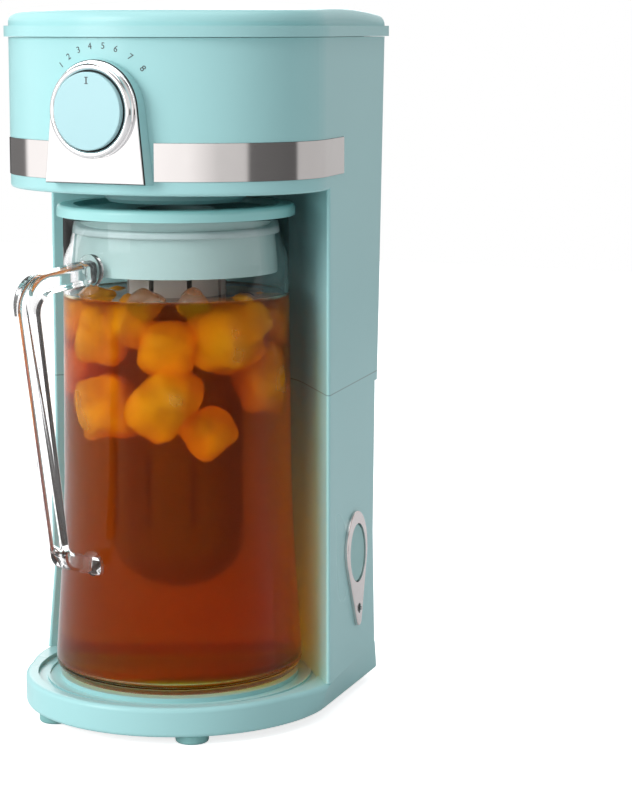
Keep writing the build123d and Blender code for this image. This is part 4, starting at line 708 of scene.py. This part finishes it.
def make_world():
    """White to the camera; dark flags beside white to clear pieces; pale walls with gaps to glossy ones."""
    world = bpy.data.worlds.new("studio")
    bpy.context.scene.world = world
    world.use_nodes = True
    nodes, links = world.node_tree.nodes, world.node_tree.links
    nodes.clear()
    out = nodes.new("ShaderNodeOutputWorld")
    direction = nodes.new("ShaderNodeTexCoord").outputs["Generated"]
    split = nodes.new("ShaderNodeSeparateXYZ")
    links.new(direction, split.inputs[0])

    def maths(operation, a, b=None):
        node = nodes.new("ShaderNodeMath")
        node.operation = operation
        for socket, value in zip(node.inputs, (a, b)):
            if isinstance(value, (int, float)):
                socket.default_value = value
            elif value is not None:
                links.new(value, socket)
        return node.outputs[0]

    turn = maths("ARCTAN2", split.outputs["Y"], split.outputs["X"])
    share = maths("ADD", maths("DIVIDE", turn, 2 * pi), 0.5)
    wall = nodes.new("ShaderNodeValToRGB")
    links.new(share, wall.inputs["Fac"])
    stops = [(-180, 1.3), (-100, 1.35), (-70, 1.25), (-50, 0.8), (-29, 0.72), (-26, 0.15), (22, 0.12),
             (26, 0.62), (98, 0.60), (104, 0.10), (136, 0.08), (142, 0.20), (175, 0.22), (179, 1.2)]
    fill_ramp(wall.color_ramp, stops, (1.0, 0.98, 0.975))
    seen_through = nodes.new("ShaderNodeValToRGB")
    links.new(share, seen_through.inputs["Fac"])
    fill_ramp(seen_through.color_ramp, [(-180, 0.1), (-130, 0.1), (-120, 1.0), (0, 1.0), (8, 0.1), (68, 0.1),
                                        (74, 1.0), (164, 1.0), (170, 0.1)], (1.0, 1.0, 1.0))
    rise = nodes.new("ShaderNodeMapRange")
    rise.interpolation_type = "SMOOTHSTEP"
    rise.inputs["From Min"].default_value = 0.0
    rise.inputs["From Max"].default_value = 0.12
    links.new(split.outputs["Z"], rise.inputs["Value"])
    studio = nodes.new("ShaderNodeMix")
    studio.data_type = "RGBA"
    links.new(rise.outputs["Result"], studio.inputs["Factor"])
    links.new(wall.outputs["Color"], studio.inputs["A"])
    studio.inputs["B"].default_value = (0.8, 0.8, 0.8, 1.0)
    ceiling = nodes.new("ShaderNodeMapRange")
    ceiling.interpolation_type = "SMOOTHSTEP"
    ceiling.inputs["From Min"].default_value = 0.5
    ceiling.inputs["From Max"].default_value = 0.75
    links.new(split.outputs["Z"], ceiling.inputs["Value"])
    room = nodes.new("ShaderNodeMix")
    room.data_type = "RGBA"
    links.new(ceiling.outputs["Result"], room.inputs["Factor"])
    links.new(studio.outputs["Result"], room.inputs["A"])
    room.inputs["B"].default_value = (0.25, 0.25, 0.25, 1.0)
    glossy = nodes.new("ShaderNodeBackground")
    links.new(room.outputs["Result"], glossy.inputs["Color"])
    flags = nodes.new("ShaderNodeBackground")
    links.new(seen_through.outputs["Color"], flags.inputs["Color"])
    white = nodes.new("ShaderNodeBackground")
    white.inputs["Color"].default_value = (1.0, 1.0, 1.0, 1.0)
    soft = nodes.new("ShaderNodeBackground")
    soft.inputs["Color"].default_value = (0.95, 0.97, 1.0, 1.0)
    side = nodes.new("ShaderNodeMapRange")
    side.inputs["From Min"].default_value = -1.0
    side.inputs["To Min"].default_value = 0.90
    side.inputs["To Max"].default_value = 0.36
    links.new(split.outputs["X"], side.inputs["Value"])
    links.new(side.outputs["Result"], soft.inputs["Strength"])
    path = nodes.new("ShaderNodeLightPath")
    result = soft
    for kind, light in (("Is Glossy Ray", glossy), ("Is Transmission Ray", flags), ("Is Camera Ray", white)):
        mix = nodes.new("ShaderNodeMixShader")
        links.new(path.outputs[kind], mix.inputs[0])
        links.new(result.outputs[0], mix.inputs[1])
        links.new(light.outputs[0], mix.inputs[2])
        result = mix
    links.new(result.outputs[0], out.inputs["Surface"])


make_world()


def softbox(name, place, target, width, height, power, colour=(1.0, 1.0, 1.0)):
    data = bpy.data.lights.new(name, "AREA")
    data.shape = "RECTANGLE"
    data.size = width
    data.size_y = height
    data.energy = power
    data.color = colour
    lamp = bpy.data.objects.new(name, data)
    lamp.location = place
    lamp.rotation_euler = (Vector(target) - Vector(place)).to_track_quat("-Z", "Y").to_euler()
    bpy.context.collection.objects.link(lamp)
    return lamp


softbox("key", (-1.0, -1.8, 1.0), (0, 0, 0.2), 1.0, 1.4, 31.0)
softbox("top", (0.1, -0.2, 1.9), (0, 0, 0.2), 1.4, 1.4, 9.5)
softbox("back", (-0.9, 1.4, 0.9), (0, 0, 0.2), 1.0, 1.0, 8.0)

# a dark card that only clear pieces see, so that the handle's edges stand out from the white
CARD_ENDS = ((-0.343, -0.029), (-0.157, -0.383))
CARD_LOW, CARD_HIGH = 0.001, 0.5
card_mesh = bpy.data.meshes.new("dark_card")
left, right = CARD_ENDS
card_mesh.from_pydata([(*left, CARD_LOW), (*right, CARD_LOW), (*right, CARD_HIGH), (*left, CARD_HIGH)],
                      [], [(0, 1, 2, 3)])
card = bpy.data.objects.new("dark_card", card_mesh)
bpy.context.collection.objects.link(card)
card_shader = Shader("dark_card")
card_shader.set(Roughness=0.9, Base_Color=(0.05, 0.04, 0.035, 1.0))
card_mesh.materials.append(card_shader.material)
for kind in ("camera", "diffuse", "glossy", "shadow", "volume_scatter"):
    setattr(card, f"visible_{kind}", False)

# ---------------------------------------------------------------- camera
LENS = 108.95                  # mm; this and the place and angles come from fitting the photo
CAMERA_PLACE = (0.6930, -1.1879, 0.3901)
TILT_DOWN, TURN_LEFT = 8.74, 26.95
camera_data = bpy.data.cameras.new("camera")
camera_data.lens = LENS
camera_data.sensor_width = 36.0
camera_data.clip_start = 0.05
camera_data.clip_end = 50.0
camera = bpy.data.objects.new("camera", camera_data)
camera.location = CAMERA_PLACE
camera.rotation_euler = (radians(90 - TILT_DOWN), 0.0, radians(TURN_LEFT))
bpy.context.collection.objects.link(camera)
bpy.context.scene.camera = camera
bpy.context.scene.view_settings.view_transform = "Standard"
bpy.context.scene.cycles.volume_bounces = 3
